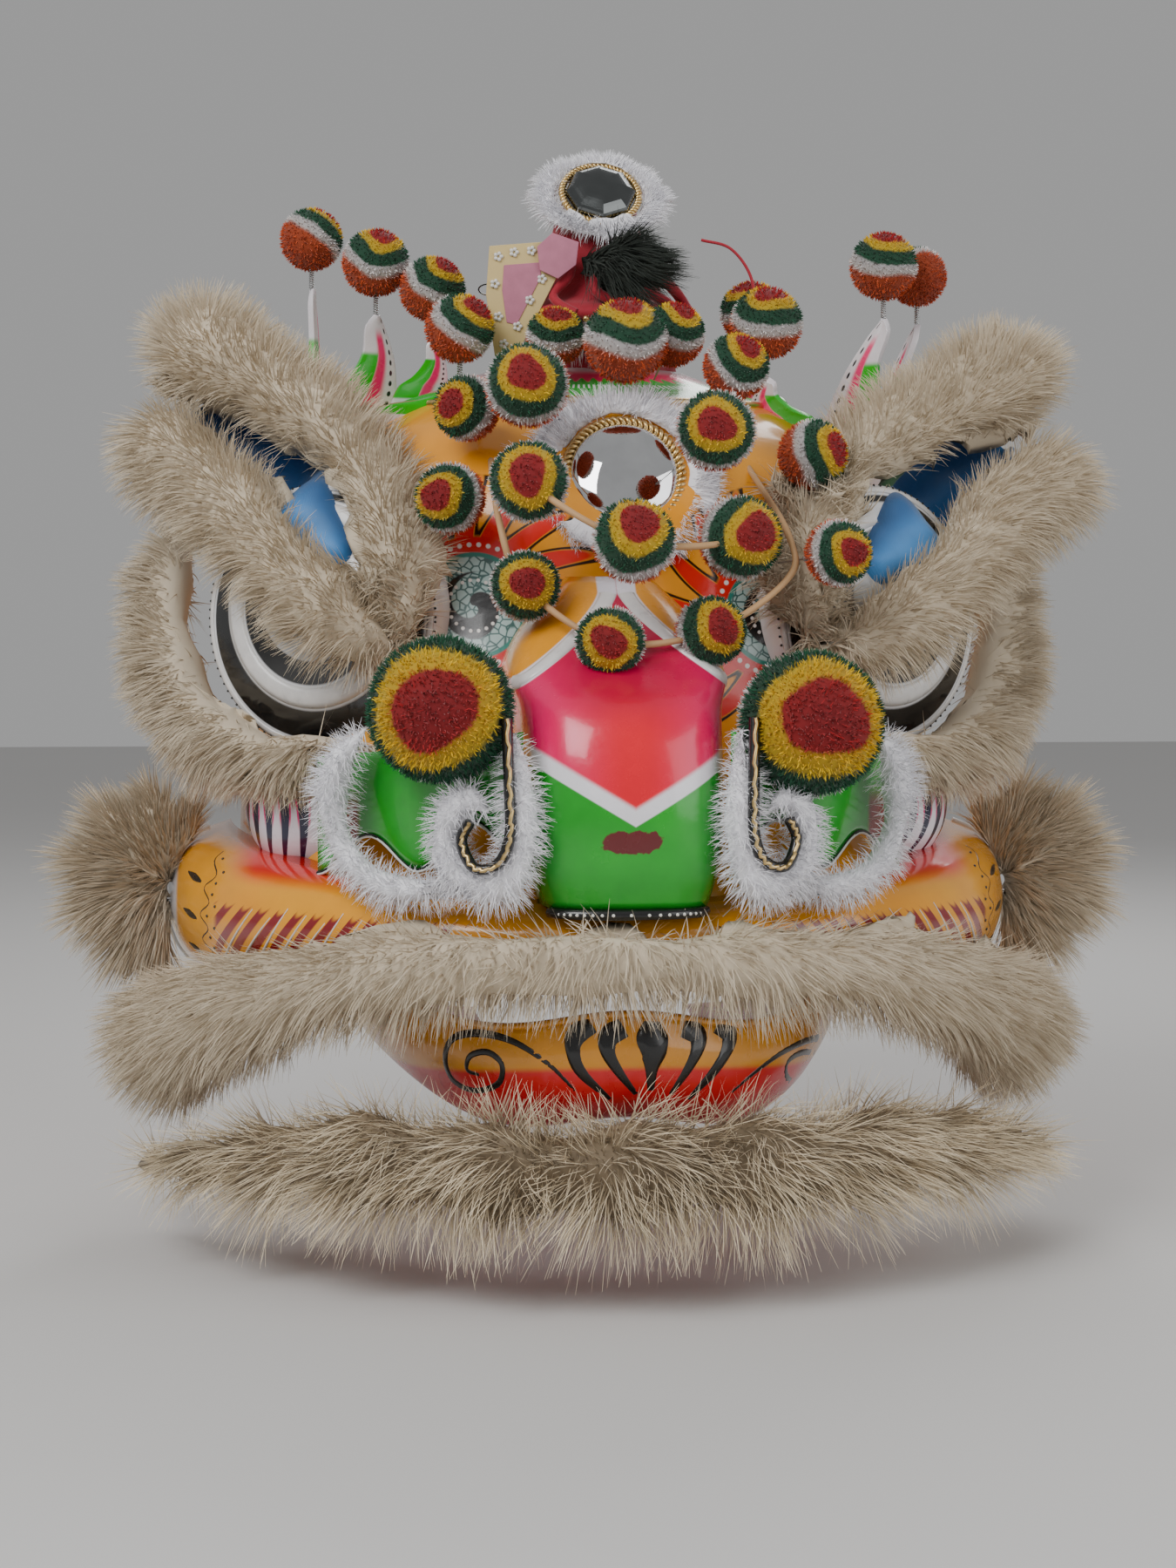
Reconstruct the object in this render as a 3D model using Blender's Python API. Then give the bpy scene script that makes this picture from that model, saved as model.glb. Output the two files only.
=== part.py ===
"""Lion dance head: a papier shell with a hinged jaw, ears, eyes, fur, horn and pompoms.

Metres, +Z up, the face looks along -Y. The origin is the middle of the grip bar,
which the dancer holds and on which the jaw turns.
"""

import math

import bmesh
import bpy
from mathutils import Matrix, Vector
from mathutils.bvhtree import BVHTree

# Driving sizes of the papier head
HALF_WIDTH = 0.250
FRONT_REACH = 0.300
BACK_REACH = 0.210
CROWN_HEIGHT = 0.425
PAPIER_WALL = 0.003
SHELL_BOXINESS = 0.86
SHELL_SIDES = 24
SHELL_TOP = 0.97

# Clearances: between pieces that touch, and round the bar in the jaw's lugs
GAP = 0.0005
HINGE_CLEARANCE = 0.0006
SHARPEST_OFFSET = 3.0

# Grip bar and jaw
BAR_RADIUS = 0.008
BAR_END_CLEARANCE = 0.0006
JAW_HALF_WIDTH = 0.178
JAW_REACH = 0.352
JAW_HEIGHT = 0.072
JAW_WALL = 0.003
LUG_RADIUS = 0.018
LUG_WIDTH = 0.014
ARM_OVERRUN = 0.011

# Nose, nostrils and upper jaw
NOSE_HALF_WIDTH = 0.066
NOSE_REACH = 0.370
NOSE_BOTTOM = 0.052
NOSE_HEIGHT = 0.205
NOSTRIL_SPAN = 0.128
NOSTRIL_HEIGHT = 0.085
NOSTRIL_BULGE = 0.030
CHEEK_HALF_WIDTH = 0.305
CHEEK_REACH = 0.345
CHEEK_HEIGHT = 0.105

# Eyes and gills: size, where they sit on the shell, how far out, which way they face
EYE_RADIUS = 0.088
EYE_DOME = 0.022
EYE_SKIRT = 0.040
EYE_TALL = 1.02
EYE_SEAT = 0.016
EYE_SPOT = (0.73, 0.54)
EYE_FACING = (0.50, -0.86, 0.05)
GILL_RADIUS = 0.046
GILL_DOME = 0.018
GILL_SKIRT = 0.030
GILL_TALL = 0.86
GILL_SEAT = 0.010
GILL_SPOT = (0.80, 0.235)
GILL_FACING = (0.62, -0.78, -0.05)

# Ears: foot and tip as shares of the head, and how much farther the right tip spreads
EAR_LENGTH = 0.215
EAR_HALF_WIDTH = 0.034
EAR_DEPTH = 0.046
EAR_WALL = 0.0025
EAR_FOOT = (0.60, 0.50, 0.560)
EAR_TIP = (1.14, 0.20, 0.930)
EAR_SPREAD = (0.14, 0.0, -0.088)
EAR_CORE_GAPS = 2.4

# Fur depths: half the thickness of each roll at its thickest
EAR_FUR = 0.042
EYE_FUR = 0.033
LIP_FUR = 0.046
NOSTRIL_FUR = 0.0135
MIRROR_FUR = 0.015
HORN_FUR = 0.0115
HAIR_FUR = 0.026
RING_SPREAD = 1.17
RING_FLATNESS = 0.6
TUFT_LENGTH = 0.085
TUFT_THICKNESS = 0.030
BEARD_DEPTH = 0.034
BEARD_DROP = 0.044
LOCK_RELIEF = 0.13

# Forehead mirror: where it sits on the shell and which way it faces
MIRROR_RADIUS = 0.037
MIRROR_DOME = 0.012
MIRROR_EDGE = 0.004
MIRROR_LIFT = -0.002
MIRROR_SPOT = (0.055, 0.765)
MIRROR_FACING = (0.0, -0.93, 0.36)

# Horn with its mirror and tag: places on it are shares of its height
HORN_RADIUS = 0.052
HORN_HEIGHT = 0.142
HORN_BRIM = 0.070
HORN_BRIM_FROM = 1.2
HORN_TOP = 1.02
HORN_FOOT = (0.04, 0.017, 0.950)
HORN_LEAN = (0.0, -0.14, 1.0)
HORN_MIRROR_RADIUS = 0.026
HORN_MIRROR_UP = 0.80
HORN_MIRROR_OUT = 0.022
HORN_MIRROR_TALL = 0.8
HORN_MIRROR_FACING = (0.02, -0.80, 0.60)
TAG_SIZE = 0.062
TAG_THICKNESS = 0.0015
TAG_ACROSS = -0.062
TAG_FORWARD = 0.060
TAG_UP = 0.42

# Fins, pompoms and their wires
FIN_WIDTH = 0.052
FIN_THICKNESS = 0.006
POMPOM_RADIUS = 0.025
BIG_POMPOM_RADIUS = 0.047
BIG_POMPOM_ACROSS = 0.462
BIG_POMPOM_FORWARD = 1.12
BIG_POMPOM_WIRE = (-0.3, 0.9, -0.35)
BIG_POMPOM_REACH = 1.5
SPRING_RADIUS = 0.0022
SPRING_SHOWN = 0.013
RATTAN_RADIUS = 0.0024
WIRE_CLEARANCE = 0.0005

# Shell sections: level up the crown, then half width, front and back reach
SHELL_SECTIONS = [
    # level, half_width, front, back
    (0.00, 0.94, 1.00, 0.86),
    (0.10, 1.00, 1.00, 0.92),
    (0.25, 1.00, 0.88, 0.98),
    (0.40, 0.99, 0.74, 1.00),
    (0.55, 0.98, 0.68, 1.00),
    (0.70, 0.92, 0.65, 0.96),
    (0.82, 0.76, 0.55, 0.82),
    (0.90, 0.55, 0.38, 0.60),
    (0.95, 0.30, 0.20, 0.32),
]

# Lower rim of the shell: turn from the front in degrees, level as share of crown
SHELL_RIM = [
    # turn, level
    (0, 0.085),
    (50, 0.03),
    (95, -0.02),
    (130, 0.08),
    (155, 0.30),
    (180, 0.36),
]

# Nose sections: level up the nose, half width, reach of its front
NOSE_SECTIONS = [
    # level, half_width, reach
    (0.00, 0.80, 0.975),
    (0.14, 0.93, 1.00),
    (0.42, 0.97, 1.00),
    (0.60, 1.00, 0.955),
    (0.70, 1.08, 0.87),
    (0.84, 0.88, 0.76),
    (1.00, 0.42, 0.64),
]

# Each pompom on its own wire: its centre, its size, and how far across its wire aims
POMPOMS = [
    # across, forward, up, size, aim
    (-0.79, -0.20, 1.200, 0.96, 0.0),
    (-0.60, -0.07, 1.150, 1.02, 0.0),
    (-0.436, 0.00, 1.100, 0.99, 0.0),
    (-0.37, 0.27, 1.016, 1.00, 0.0),
    (-0.105, 0.33, 1.000, 0.85, -0.08),
    (-0.216, 0.73, 0.899, 1.14, -0.14),
    (0.068, 0.53, 0.981, 1.18, 0.05),
    (0.215, 0.40, 1.000, 0.92, 0.16),
    (-0.368, 0.60, 0.870, 0.92, -0.24),
    (-0.42, 0.75, 0.725, 0.96, -0.26),
    (0.57, 0.93, 0.640, 0.89, 0.13),
    (0.26, 0.87, 0.826, 1.08, 0.29),
    (0.56, 0.64, 0.798, 0.97, 0.34),
    (0.36, 0.59, 0.938, 0.92, 0.24),
    (0.50, 0.27, 1.028, 1.06, 0.0),
    (0.505, 0.00, 1.065, 0.95, 0.0),
    (0.916, -0.07, 1.153, 1.04, 0.0),
    (1.05, -0.20, 1.146, 0.93, 0.0),
]

# The wire of a small pompom aims at a place inside the shell: shares of its own place
WIRE_AIM_FORWARD = 0.25
WIRE_AIM_UP = 0.92
WIRE_AIM_TOP = 0.96

# The big pompoms beside the nose
BIG_POMPOMS = [
    # side, up
    (-1, 0.410),
    (1, 0.388),
]

# Where the ends of each hoop meet the shell
OUTER_HOOP_ENDS = [
    # across, up
    (-0.30, 0.80),
    (0.40, 0.79),
]
INNER_HOOP_ENDS = [
    # across, up
    (-0.20, 0.82),
    (0.34, 0.74),
]

# The rattan hoops from end to end, with their pompoms: a size of 0 is bare rattan
OUTER_HOOP = [
    # across, forward, up, size
    (-0.30, 0.86, 0.690, 0),
    (-0.236, 0.90, 0.590, 0.94),
    (-0.032, 1.03, 0.508, 0.92),
    (0.232, 0.97, 0.522, 0.93),
    (0.440, 0.91, 0.600, 0),
    (0.455, 0.86, 0.665, 0),
]
INNER_HOOP = [
    # across, forward, up, size
    (-0.228, 0.93, 0.746, 1.06),
    (0.028, 1.03, 0.656, 1.09),
    (0.320, 0.90, 0.663, 1.12),
]

# Each fin under its pompom: foot across, forward, up, width, turn in degrees
FINS = {
    # pompom: across, forward, up, width, turn
    1: (-0.80, -0.20, 0.78, 0.90, 78),
    2: (-0.70, -0.07, 0.80, 1.20, 25),
    3: (-0.47, 0.00, 0.86, 0.70, 20),
    4: (-0.46, 0.24, 0.80, 1.60, 12),
    15: (0.54, 0.25, 0.80, 0.90, -35),
    16: (0.52, 0.00, 0.84, 0.80, -25),
    17: (0.84, -0.07, 0.76, 1.20, -35),
    18: (0.94, -0.20, 0.72, 0.90, -70),
}

# Fur round an ear: above it from the tip to the foot, then below it from foot to tip
EAR_UPPER_ROLL = [
    # across, forward, up, thickness
    (1.21, 0.14, 1.025, 0.80),
    (1.10, 0.22, 0.990, 1.00),
    (0.95, 0.32, 0.935, 0.90),
    (0.78, 0.42, 0.862, 0.84),
    (0.62, 0.52, 0.765, 0.80),
    (0.54, 0.65, 0.640, 0.80),
    (0.545, 0.73, 0.500, 0.74),
]
EAR_LOWER_ROLL = [
    # across, forward, up, thickness
    (0.52, 0.73, 0.480, 0.72),
    (0.70, 0.72, 0.530, 0.78),
    (0.86, 0.64, 0.620, 0.80),
    (1.00, 0.50, 0.720, 0.86),
    (1.16, 0.34, 0.800, 0.92),
    (1.28, 0.22, 0.840, 0.70),
]

# Roll of fur round an eye, from its inner corner under it to its outer top
EYE_ROLL = [
    # across, forward, up, thickness
    (0.60, 0.72, 0.345, 0.58),
    (0.76, 0.70, 0.322, 0.76),
    (0.96, 0.58, 0.325, 0.86),
    (1.12, 0.40, 0.390, 0.98),
    (1.20, 0.26, 0.500, 0.95),
    (1.19, 0.18, 0.620, 0.80),
    (1.12, 0.12, 0.710, 0.50),
]

# Fur along the upper lip, from the middle to one end
LIP_ROLL = [
    # across, forward, up, thickness
    (0.00, 1.22, 0.045, 0.62),
    (0.30, 1.20, 0.040, 0.66),
    (0.62, 1.06, 0.020, 0.72),
    (0.92, 0.80, -0.040, 0.84),
    (1.12, 0.52, -0.110, 1.00),
    (1.20, 0.28, -0.170, 0.96),
    (1.19, 0.12, -0.200, 0.60),
]

# White fur on a nostril: the curl at the nose, then the lower and outer edge
NOSTRIL_CURL = [
    # across, forward, up, thickness
    (0.285, 1.16, 0.375, 0.90),
    (0.275, 1.19, 0.300, 1.00),
    (0.272, 1.20, 0.225, 1.10),
    (0.300, 1.19, 0.172, 1.15),
    (0.370, 1.16, 0.155, 1.10),
    (0.438, 1.13, 0.190, 1.05),
    (0.445, 1.13, 0.250, 1.00),
    (0.395, 1.16, 0.285, 0.95),
    (0.345, 1.18, 0.262, 0.75),
]
NOSTRIL_EDGE = [
    # across, forward, up, thickness
    (0.385, 1.15, 0.152, 1.00),
    (0.530, 1.08, 0.145, 0.85),
    (0.610, 1.03, 0.152, 0.95),
    (0.685, 0.97, 0.185, 0.85),
    (0.725, 0.94, 0.245, 0.95),
    (0.718, 0.95, 0.320, 1.10),
    (0.645, 1.01, 0.380, 0.80),
]

# Beard along the jaw, from the middle to one end
BEARD_ROLL = [
    # across, forward, up, thickness
    (0.00, 1.20, -0.262, 1.00),
    (0.42, 1.12, -0.262, 1.00),
    (0.80, 0.92, -0.275, 0.92),
    (1.08, 0.72, -0.305, 0.70),
    (1.25, 0.52, -0.335, 0.36),
]

# Black hair on the horn, from the horn's foot: its height is a share of the horn's
HAIR_ROLL = [
    # across, forward, up, thickness
    (-0.012, 0.052, 0.56, 0.7),
    (0.012, 0.060, 0.50, 1.0),
    (0.036, 0.052, 0.50, 0.6),
]

# How the shell's rows of points rise from its rim to its crown
SHELL_RISE = [0.0, 0.17, 0.34, 0.50, 0.65, 0.78, 0.88, 0.96]

# The upper jaw's bulge: share of its drop, how far in the sheet stands
CHEEK_SECTION = [
    # drop, inward
    (0.00, 0.22),
    (0.12, 0.07),
    (0.45, 0.00),
    (0.80, 0.03),
    (1.00, 0.10),
]

# The jaw's tray: share of its reach, share of its height below its edge
JAW_SECTION = [
    # reach, drop
    (1.00, 0.00),
    (1.01, 0.35),
    (0.97, 0.80),
    (0.88, 1.00),
    (0.45, 1.10),
]

# Outline of a fin and of the tag, as shares of their sizes
FIN_OUTLINE = [
    # along the width, up the height
    (-0.50, -0.10),
    (0.50, -0.10),
    (0.56, 0.35),
    (0.42, 0.65),
    (0.16, 0.90),
    (0.00, 1.00),
    (-0.12, 0.93),
    (-0.04, 0.72),
    (-0.20, 0.48),
    (-0.42, 0.34),
]
TAG_OUTLINE = [
    # across, up
    (-0.30, 0.45),
    (0.50, 0.52),
    (0.52, 0.20),
    (-0.02, -0.85),
    (-0.24, -0.80),
    (-0.34, -0.10),
]

# The horn from its foot up: share of its height, share of its radius
HORN_PROFILE = [
    # up, radius
    (0.00, 1.15),
    (0.22, 1.00),
    (0.30, 0.92),
    (0.33, 1.35),
    (0.37, 1.35),
    (0.42, 0.86),
    (0.66, 0.66),
    (0.86, 0.52),
    (1.00, 0.20),
]

# Colours, roughness, metallic of each finish
FINISHES = {
    "papier": ((0.90, 0.42, 0.05), 0.25, 0.0),
    "papier_yellow": ((0.95, 0.50, 0.03), 0.25, 0.0),
    "nose_paint": ((0.02, 0.45, 0.06), 0.15, 0.0),
    "eye_paint": ((0.85, 0.85, 0.85), 0.2, 0.0),
    "gill_paint": ((0.75, 0.75, 0.80), 0.3, 0.0),
    "ear_cloth": ((0.05, 0.22, 0.55), 0.6, 0.0),
    "beige_fur": ((0.62, 0.53, 0.40), 0.9, 0.0),
    "white_fur": ((0.88, 0.87, 0.90), 0.9, 0.0),
    "black_hair": ((0.03, 0.04, 0.03), 0.7, 0.0),
    "mirror_glass": ((0.85, 0.87, 0.88), 0.03, 1.0),
    "horn_cloth": ((0.55, 0.02, 0.05), 0.7, 0.0),
    "card": ((0.62, 0.48, 0.22), 0.4, 0.0),
    "fin_paint": ((0.95, 0.60, 0.70), 0.25, 0.0),
    "pompom_pile": ((0.65, 0.20, 0.05), 0.95, 0.0),
    "rattan": ((0.50, 0.30, 0.14), 0.5, 0.0),
    "bamboo": ((0.62, 0.46, 0.24), 0.5, 0.0),
}

# The body that each piece's neighbours are cut with, by the piece's name
CORES = {}


def finish(name):
    """The finish's material, made the first time it is asked for."""
    if name in bpy.data.materials:
        return bpy.data.materials[name]
    colour, roughness, metallic = FINISHES[name]
    material = bpy.data.materials.new(name)
    material.use_nodes = True
    shader = material.node_tree.nodes["Principled BSDF"]
    shader.inputs["Base Color"].default_value = (*colour, 1.0)
    shader.inputs["Roughness"].default_value = roughness
    shader.inputs["Metallic"].default_value = metallic
    return material


def at(across, forward, up):
    """A place given as shares of the head's half width, front reach and crown height."""
    return Vector((across * HALF_WIDTH, -forward * FRONT_REACH, up * CROWN_HEIGHT))


def between(rows, key):
    """Row of a table at a value of its first column, eased between its neighbours."""
    if key <= rows[0][0]:
        return rows[0][1:]
    for low, high in zip(rows, rows[1:]):
        if key <= high[0]:
            share = (key - low[0]) / (high[0] - low[0])
            return [a + (b - a) * share for a, b in zip(low[1:], high[1:])]
    return rows[-1][1:]


def smooth_path(points, count):
    """Points spread evenly in parameter on a smooth curve through the given rows."""
    rows = [list(p) for p in points]
    rows = [[2 * a - b for a, b in zip(rows[0], rows[1])]] + rows
    rows = rows + [[2 * a - b for a, b in zip(rows[-1], rows[-2])]]
    spans = len(rows) - 3
    path = []
    for i in range(count):
        place = i / (count - 1) * spans
        span = min(int(place), spans - 1)
        t = place - span
        p0, p1, p2, p3 = rows[span : span + 4]
        path.append(
            [
                0.5 * (2 * b + (c - a) * t + (2 * a - 5 * b + 4 * c - d) * t * t
                       + (3 * b - a - 3 * c + d) * t ** 3)
                for a, b, c, d in zip(p0, p1, p2, p3)
            ]
        )
    return path


def add_object(name, bm, finish_name, smooth=True):
    """A new object from a bmesh, with its faces turned outward."""
    bmesh.ops.triangulate(bm, faces=bm.faces)
    bmesh.ops.recalc_face_normals(bm, faces=bm.faces)
    if bm.calc_volume(signed=True) < 0:
        bmesh.ops.reverse_faces(bm, faces=bm.faces)
    mesh = bpy.data.meshes.new(name)
    bm.to_mesh(mesh)
    bm.free()
    mesh.materials.append(finish(finish_name))
    if smooth:
        mesh.shade_smooth()
    thing = bpy.data.objects.new(name, mesh)
    bpy.context.scene.collection.objects.link(thing)
    return thing


def bridge(bm, ring_a, ring_b, closed):
    """Faces between two rows of as many points."""
    count = len(ring_a)
    for i in range(count if closed else count - 1):
        j = (i + 1) % count
        bm.faces.new((ring_a[i], ring_a[j], ring_b[j], ring_b[i]))


def fan(bm, ring, tip, closed=True):
    """Triangles from a row of points to one tip."""
    count = len(ring)
    for i in range(count if closed else count - 1):
        bm.faces.new((ring[i], ring[(i + 1) % count], tip))


def sheet_from(rows, closed=False, first_tip=None, last_tip=None):
    """A bmesh sheet through rows of points, with a tip at an end where one is given."""
    bm = bmesh.new()
    rings = [[bm.verts.new(p) for p in row] for row in rows]
    for a, b in zip(rings, rings[1:]):
        bridge(bm, a, b, closed)
    if first_tip is not None:
        fan(bm, rings[0], bm.verts.new(first_tip), closed)
    if last_tip is not None:
        fan(bm, rings[-1], bm.verts.new(last_tip), closed)
    return bm


def outward(bm, away_from):
    """Turns a sheet's faces to point away from a place."""
    bmesh.ops.recalc_face_normals(bm, faces=bm.faces)
    bm.normal_update()
    face = max(bm.faces, key=lambda f: f.calc_area())
    if (face.calc_center_median() - away_from).dot(face.normal) < 0:
        bmesh.ops.reverse_faces(bm, faces=bm.faces)
    bm.normal_update()


def offset(bm, distance):
    """Moves every point of a bmesh along its normal."""
    bm.normal_update()
    moves = [(v, v.normal * min(v.calc_shell_factor(), SHARPEST_OFFSET)) for v in bm.verts]
    for v, move in moves:
        v.co += move * distance


def lengthen_rim(rim):
    """Carries a sheet's open edge on past the wall's own rim by the gap."""
    moves = []
    for v in {v for e in rim for v in e.verts}:
        inner = [e.other_vert(v).co for e in v.link_edges if not e.is_boundary]
        middle = sum(inner, Vector()) / len(inner)
        moves.append((v, (v.co - middle).normalized()))
    for v, move in moves:
        v.co += move * (2 * GAP)


def settle(thing):
    """Replaces an object's mesh with its evaluated one, in triangles, and drops its modifiers."""
    graph = bpy.context.evaluated_depsgraph_get()
    old = thing.data
    thing.data = bpy.data.meshes.new_from_object(thing.evaluated_get(graph))
    thing.data.name = thing.name
    thing.modifiers.clear()
    bpy.data.meshes.remove(old)
    bm = bmesh.new()
    bm.from_mesh(thing.data)
    bmesh.ops.triangulate(bm, faces=bm.faces)
    bm.to_mesh(thing.data)
    bm.free()


def wall_and_core(name, bm, away_from, wall, finish_name, filled=False):
    """A thin wall inside a sheet. With filled, its neighbours are cut with the closed body."""
    bmesh.ops.triangulate(bm, faces=bm.faces)
    outward(bm, away_from)
    if filled:
        core = bm.copy()
        offset(core, GAP)
        rim = [e for e in core.edges if e.is_boundary]
        lengthen_rim(rim)
        bmesh.ops.holes_fill(core, edges=rim, sides=0)
        CORES[name] = cutter(add_object(name + "_core", core, finish_name))
    mesh = bpy.data.meshes.new(name)
    bm.to_mesh(mesh)
    bm.free()
    mesh.materials.append(finish(finish_name))
    mesh.shade_smooth()
    thing = bpy.data.objects.new(name, mesh)
    bpy.context.scene.collection.objects.link(thing)
    solidify = thing.modifiers.new("wall", "SOLIDIFY")
    solidify.thickness = wall
    solidify.offset = -1.0
    solidify.use_rim = True
    settle(thing)
    thing.data.materials.clear()
    thing.data.materials.append(finish(finish_name))
    return thing


def cutter(thing):
    """Marks an object as one that only cuts others."""
    thing.hide_render = True
    thing.display_type = "WIRE"
    return thing


def core_of(thing, gap=GAP):
    """The body that cuts a solid's neighbours: a wall's filled body, or a copy larger by the gap."""
    if thing.name not in CORES:
        bm = bmesh.new()
        bm.from_mesh(thing.data)
        offset(bm, gap)
        CORES[thing.name] = cutter(add_object(thing.name + "_core", bm, "bamboo"))
    return CORES[thing.name]


def corners(thing):
    """Lowest and highest corner of an object's mesh."""
    points = [v.co for v in thing.data.vertices]
    low = [min(p[k] for p in points) for k in range(3)]
    high = [max(p[k] for p in points) for k in range(3)]
    return low, high


def may_meet(a, b):
    """Whether two objects' boxes overlap."""
    (low_a, high_a), (low_b, high_b) = corners(a), corners(b)
    return all(low_a[k] < high_b[k] and low_b[k] < high_a[k] for k in range(3))


def boolean(thing, other, operation):
    """Applies one exact Boolean to an object."""
    cut = thing.modifiers.new("cut", "BOOLEAN")
    cut.operation = operation
    cut.object = other
    cut.solver = "EXACT"
    settle(thing)


def main_body(thing):
    """Leaves only the largest body of an object that a cut has split."""
    bm = bmesh.new()
    bm.from_mesh(thing.data)
    unseen, bodies = set(bm.verts), []
    while unseen:
        body, edge = set(), [unseen.pop()]
        while edge:
            v = edge.pop()
            body.add(v)
            for e in v.link_edges:
                w = e.other_vert(v)
                if w in unseen:
                    unseen.discard(w)
                    edge.append(w)
        bodies.append(body)
    largest = max(bodies, key=len)
    spare = [v for body in bodies if body is not largest for v in body]
    bmesh.ops.delete(bm, geom=spare, context="VERTS")
    bm.to_mesh(thing.data)
    bm.free()


def cut_clear(thing, others):
    """Cuts an object back from each neighbour that it may meet, leaving the gap."""
    core_of(thing)
    for other in others:
        core = core_of(other)
        if may_meet(thing, core):
            boolean(thing, core, "DIFFERENCE")
    main_body(thing)


def fuse(name, things):
    """Unites several solids into the first, which takes the name."""
    first = things[0]
    for other in things[1:]:
        boolean(first, other, "UNION")
        bpy.data.objects.remove(other, do_unlink=True)
    first.name = name
    first.data.name = name
    main_body(first)
    return first


def remove_cores():
    """Takes the cutting bodies out of the scene at the end."""
    for core in CORES.values():
        bpy.data.objects.remove(core, do_unlink=True)
    CORES.clear()


def lock_wave(station, side, relief):
    """How far a lock of fur stands out at a station and side of a roll."""
    along = math.cos(math.pi * station)
    round_it = math.cos(side * 2.4 + station * 1.3)
    return 1 + relief * (0.6 * along + 0.4 * round_it)


def roll(name, rows, depth, stations, sides, finish_name, tall=1.0, relief=LOCK_RELIEF,
         up=Vector((0, 0, 1))):
    """A roll of fur in locks along rows of x, y, z and thickness share."""
    path = smooth_path(rows, stations)
    points = [Vector(p[:3]) for p in path]
    bm = bmesh.new()
    rings = []
    for i, centre in enumerate(points):
        ahead = points[min(i + 1, stations - 1)] - points[max(i - 1, 0)]
        ahead.normalize()
        side = ahead.cross(up).normalized()
        top = side.cross(ahead).normalized()
        ends = min(1.0, 0.45 + 0.55 * min(i, stations - 1 - i))
        ring = []
        for j in range(sides):
            turn = 2 * math.pi * j / sides
            thick = depth * max(path[i][3], 0.05) * ends * lock_wave(i, j, relief)
            ring.append(
                centre + side * (thick * math.cos(turn)) + top * (thick * tall * math.sin(turn))
            )
        rings.append([bm.verts.new(p) for p in ring])
    for a, b in zip(rings, rings[1:]):
        bridge(bm, a, b, True)
    first_dir = (points[0] - points[1]).normalized()
    last_dir = (points[-1] - points[-2]).normalized()
    fan(bm, rings[0], bm.verts.new(points[0] + first_dir * depth * path[0][3] * 0.5))
    fan(bm, rings[-1], bm.verts.new(points[-1] + last_dir * depth * path[-1][3] * 0.5))
    return add_object(name, bm, finish_name)


def placed(table, side=1.0):
    """A roll's table turned into x, y, z, thickness rows on one side of the head."""
    return [[*at(side * across, forward, up), size] for across, forward, up, size in table]


def whole_width(table):
    """A table from the middle to one end, carried over to both sides."""
    right = placed(table, 1.0)
    left = placed(table[1:], -1.0)
    return left[::-1] + right


def shell_point(turn, z):
    """Point of the shell's outer face at a turn from the front and a height."""
    level = max(z / CROWN_HEIGHT, 0.0)
    width, front, back = between(SHELL_SECTIONS, level)
    across = math.sin(turn)
    along = math.cos(turn)
    x = HALF_WIDTH * width * math.copysign(abs(across) ** SHELL_BOXINESS, across)
    reach = FRONT_REACH * front if along > 0 else BACK_REACH * back
    y = -reach * math.copysign(abs(along) ** SHELL_BOXINESS, along)
    return Vector((x, y, z))


def make_head_shell():
    """The papier shell: a broad dome, open below, its rim higher at the back."""
    rows = []
    for share in SHELL_RISE:
        row = []
        for i in range(SHELL_SIDES):
            degrees = 360 * i / SHELL_SIDES
            rim = between(SHELL_RIM, min(degrees, 360 - degrees))[0] * CROWN_HEIGHT
            z = rim + (CROWN_HEIGHT * SHELL_TOP - rim) * share
            row.append(shell_point(math.radians(degrees), z))
        rows.append(row)
    bm = sheet_from(rows, closed=True, last_tip=at(0, 0, SHELL_TOP))
    return wall_and_core("head_shell", bm, at(0, 0, 0.4), PAPIER_WALL, "papier", filled=True)


def make_upper_jaw():
    """The yellow upper jaw: a bulging band from cheek to cheek under the face."""
    columns = 15
    rows = []
    for drop, inward in CHEEK_SECTION:
        row = []
        for i in range(columns):
            turn = math.radians(-86 + 172 * i / (columns - 1))
            share = abs(math.sin(turn)) ** 2
            top = NOSE_BOTTOM * (0.98 + 0.62 * share)
            height = CHEEK_HEIGHT * (0.36 + 0.64 * share)
            wide = CHEEK_HALF_WIDTH * (1 - inward * 0.7)
            reach = CHEEK_REACH * (1 - inward * 0.55)
            z = top - height * drop
            row.append(Vector((wide * math.sin(turn), -reach * math.cos(turn) ** 0.9, z)))
        rows.append(row)
    bm = sheet_from(rows)
    return wall_and_core("upper_jaw", bm, Vector((0, 0, NOSE_BOTTOM)), PAPIER_WALL, "papier_yellow")


def make_nose():
    """The nose: a block that slopes up and back to the forehead, open behind."""
    columns = 13
    rows = []
    for level, width, reach in NOSE_SECTIONS:
        z = NOSE_BOTTOM + NOSE_HEIGHT * level
        row = []
        for i in range(columns):
            turn = math.radians(-90 + 180 * i / (columns - 1))
            across = math.copysign(abs(math.sin(turn)) ** 0.7, math.sin(turn))
            deep = 1 - max(math.cos(turn), 0.0) ** 0.35
            back = shell_point(0.0, z).y + 0.012
            front = -NOSE_REACH * reach
            x = NOSE_HALF_WIDTH * width * across
            row.append(Vector((x, front + (back - front) * deep, z)))
        rows.append(row)
    bm = sheet_from(rows)
    return wall_and_core("nose", bm, Vector((0, 0, NOSE_BOTTOM)), PAPIER_WALL, "nose_paint")


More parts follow.
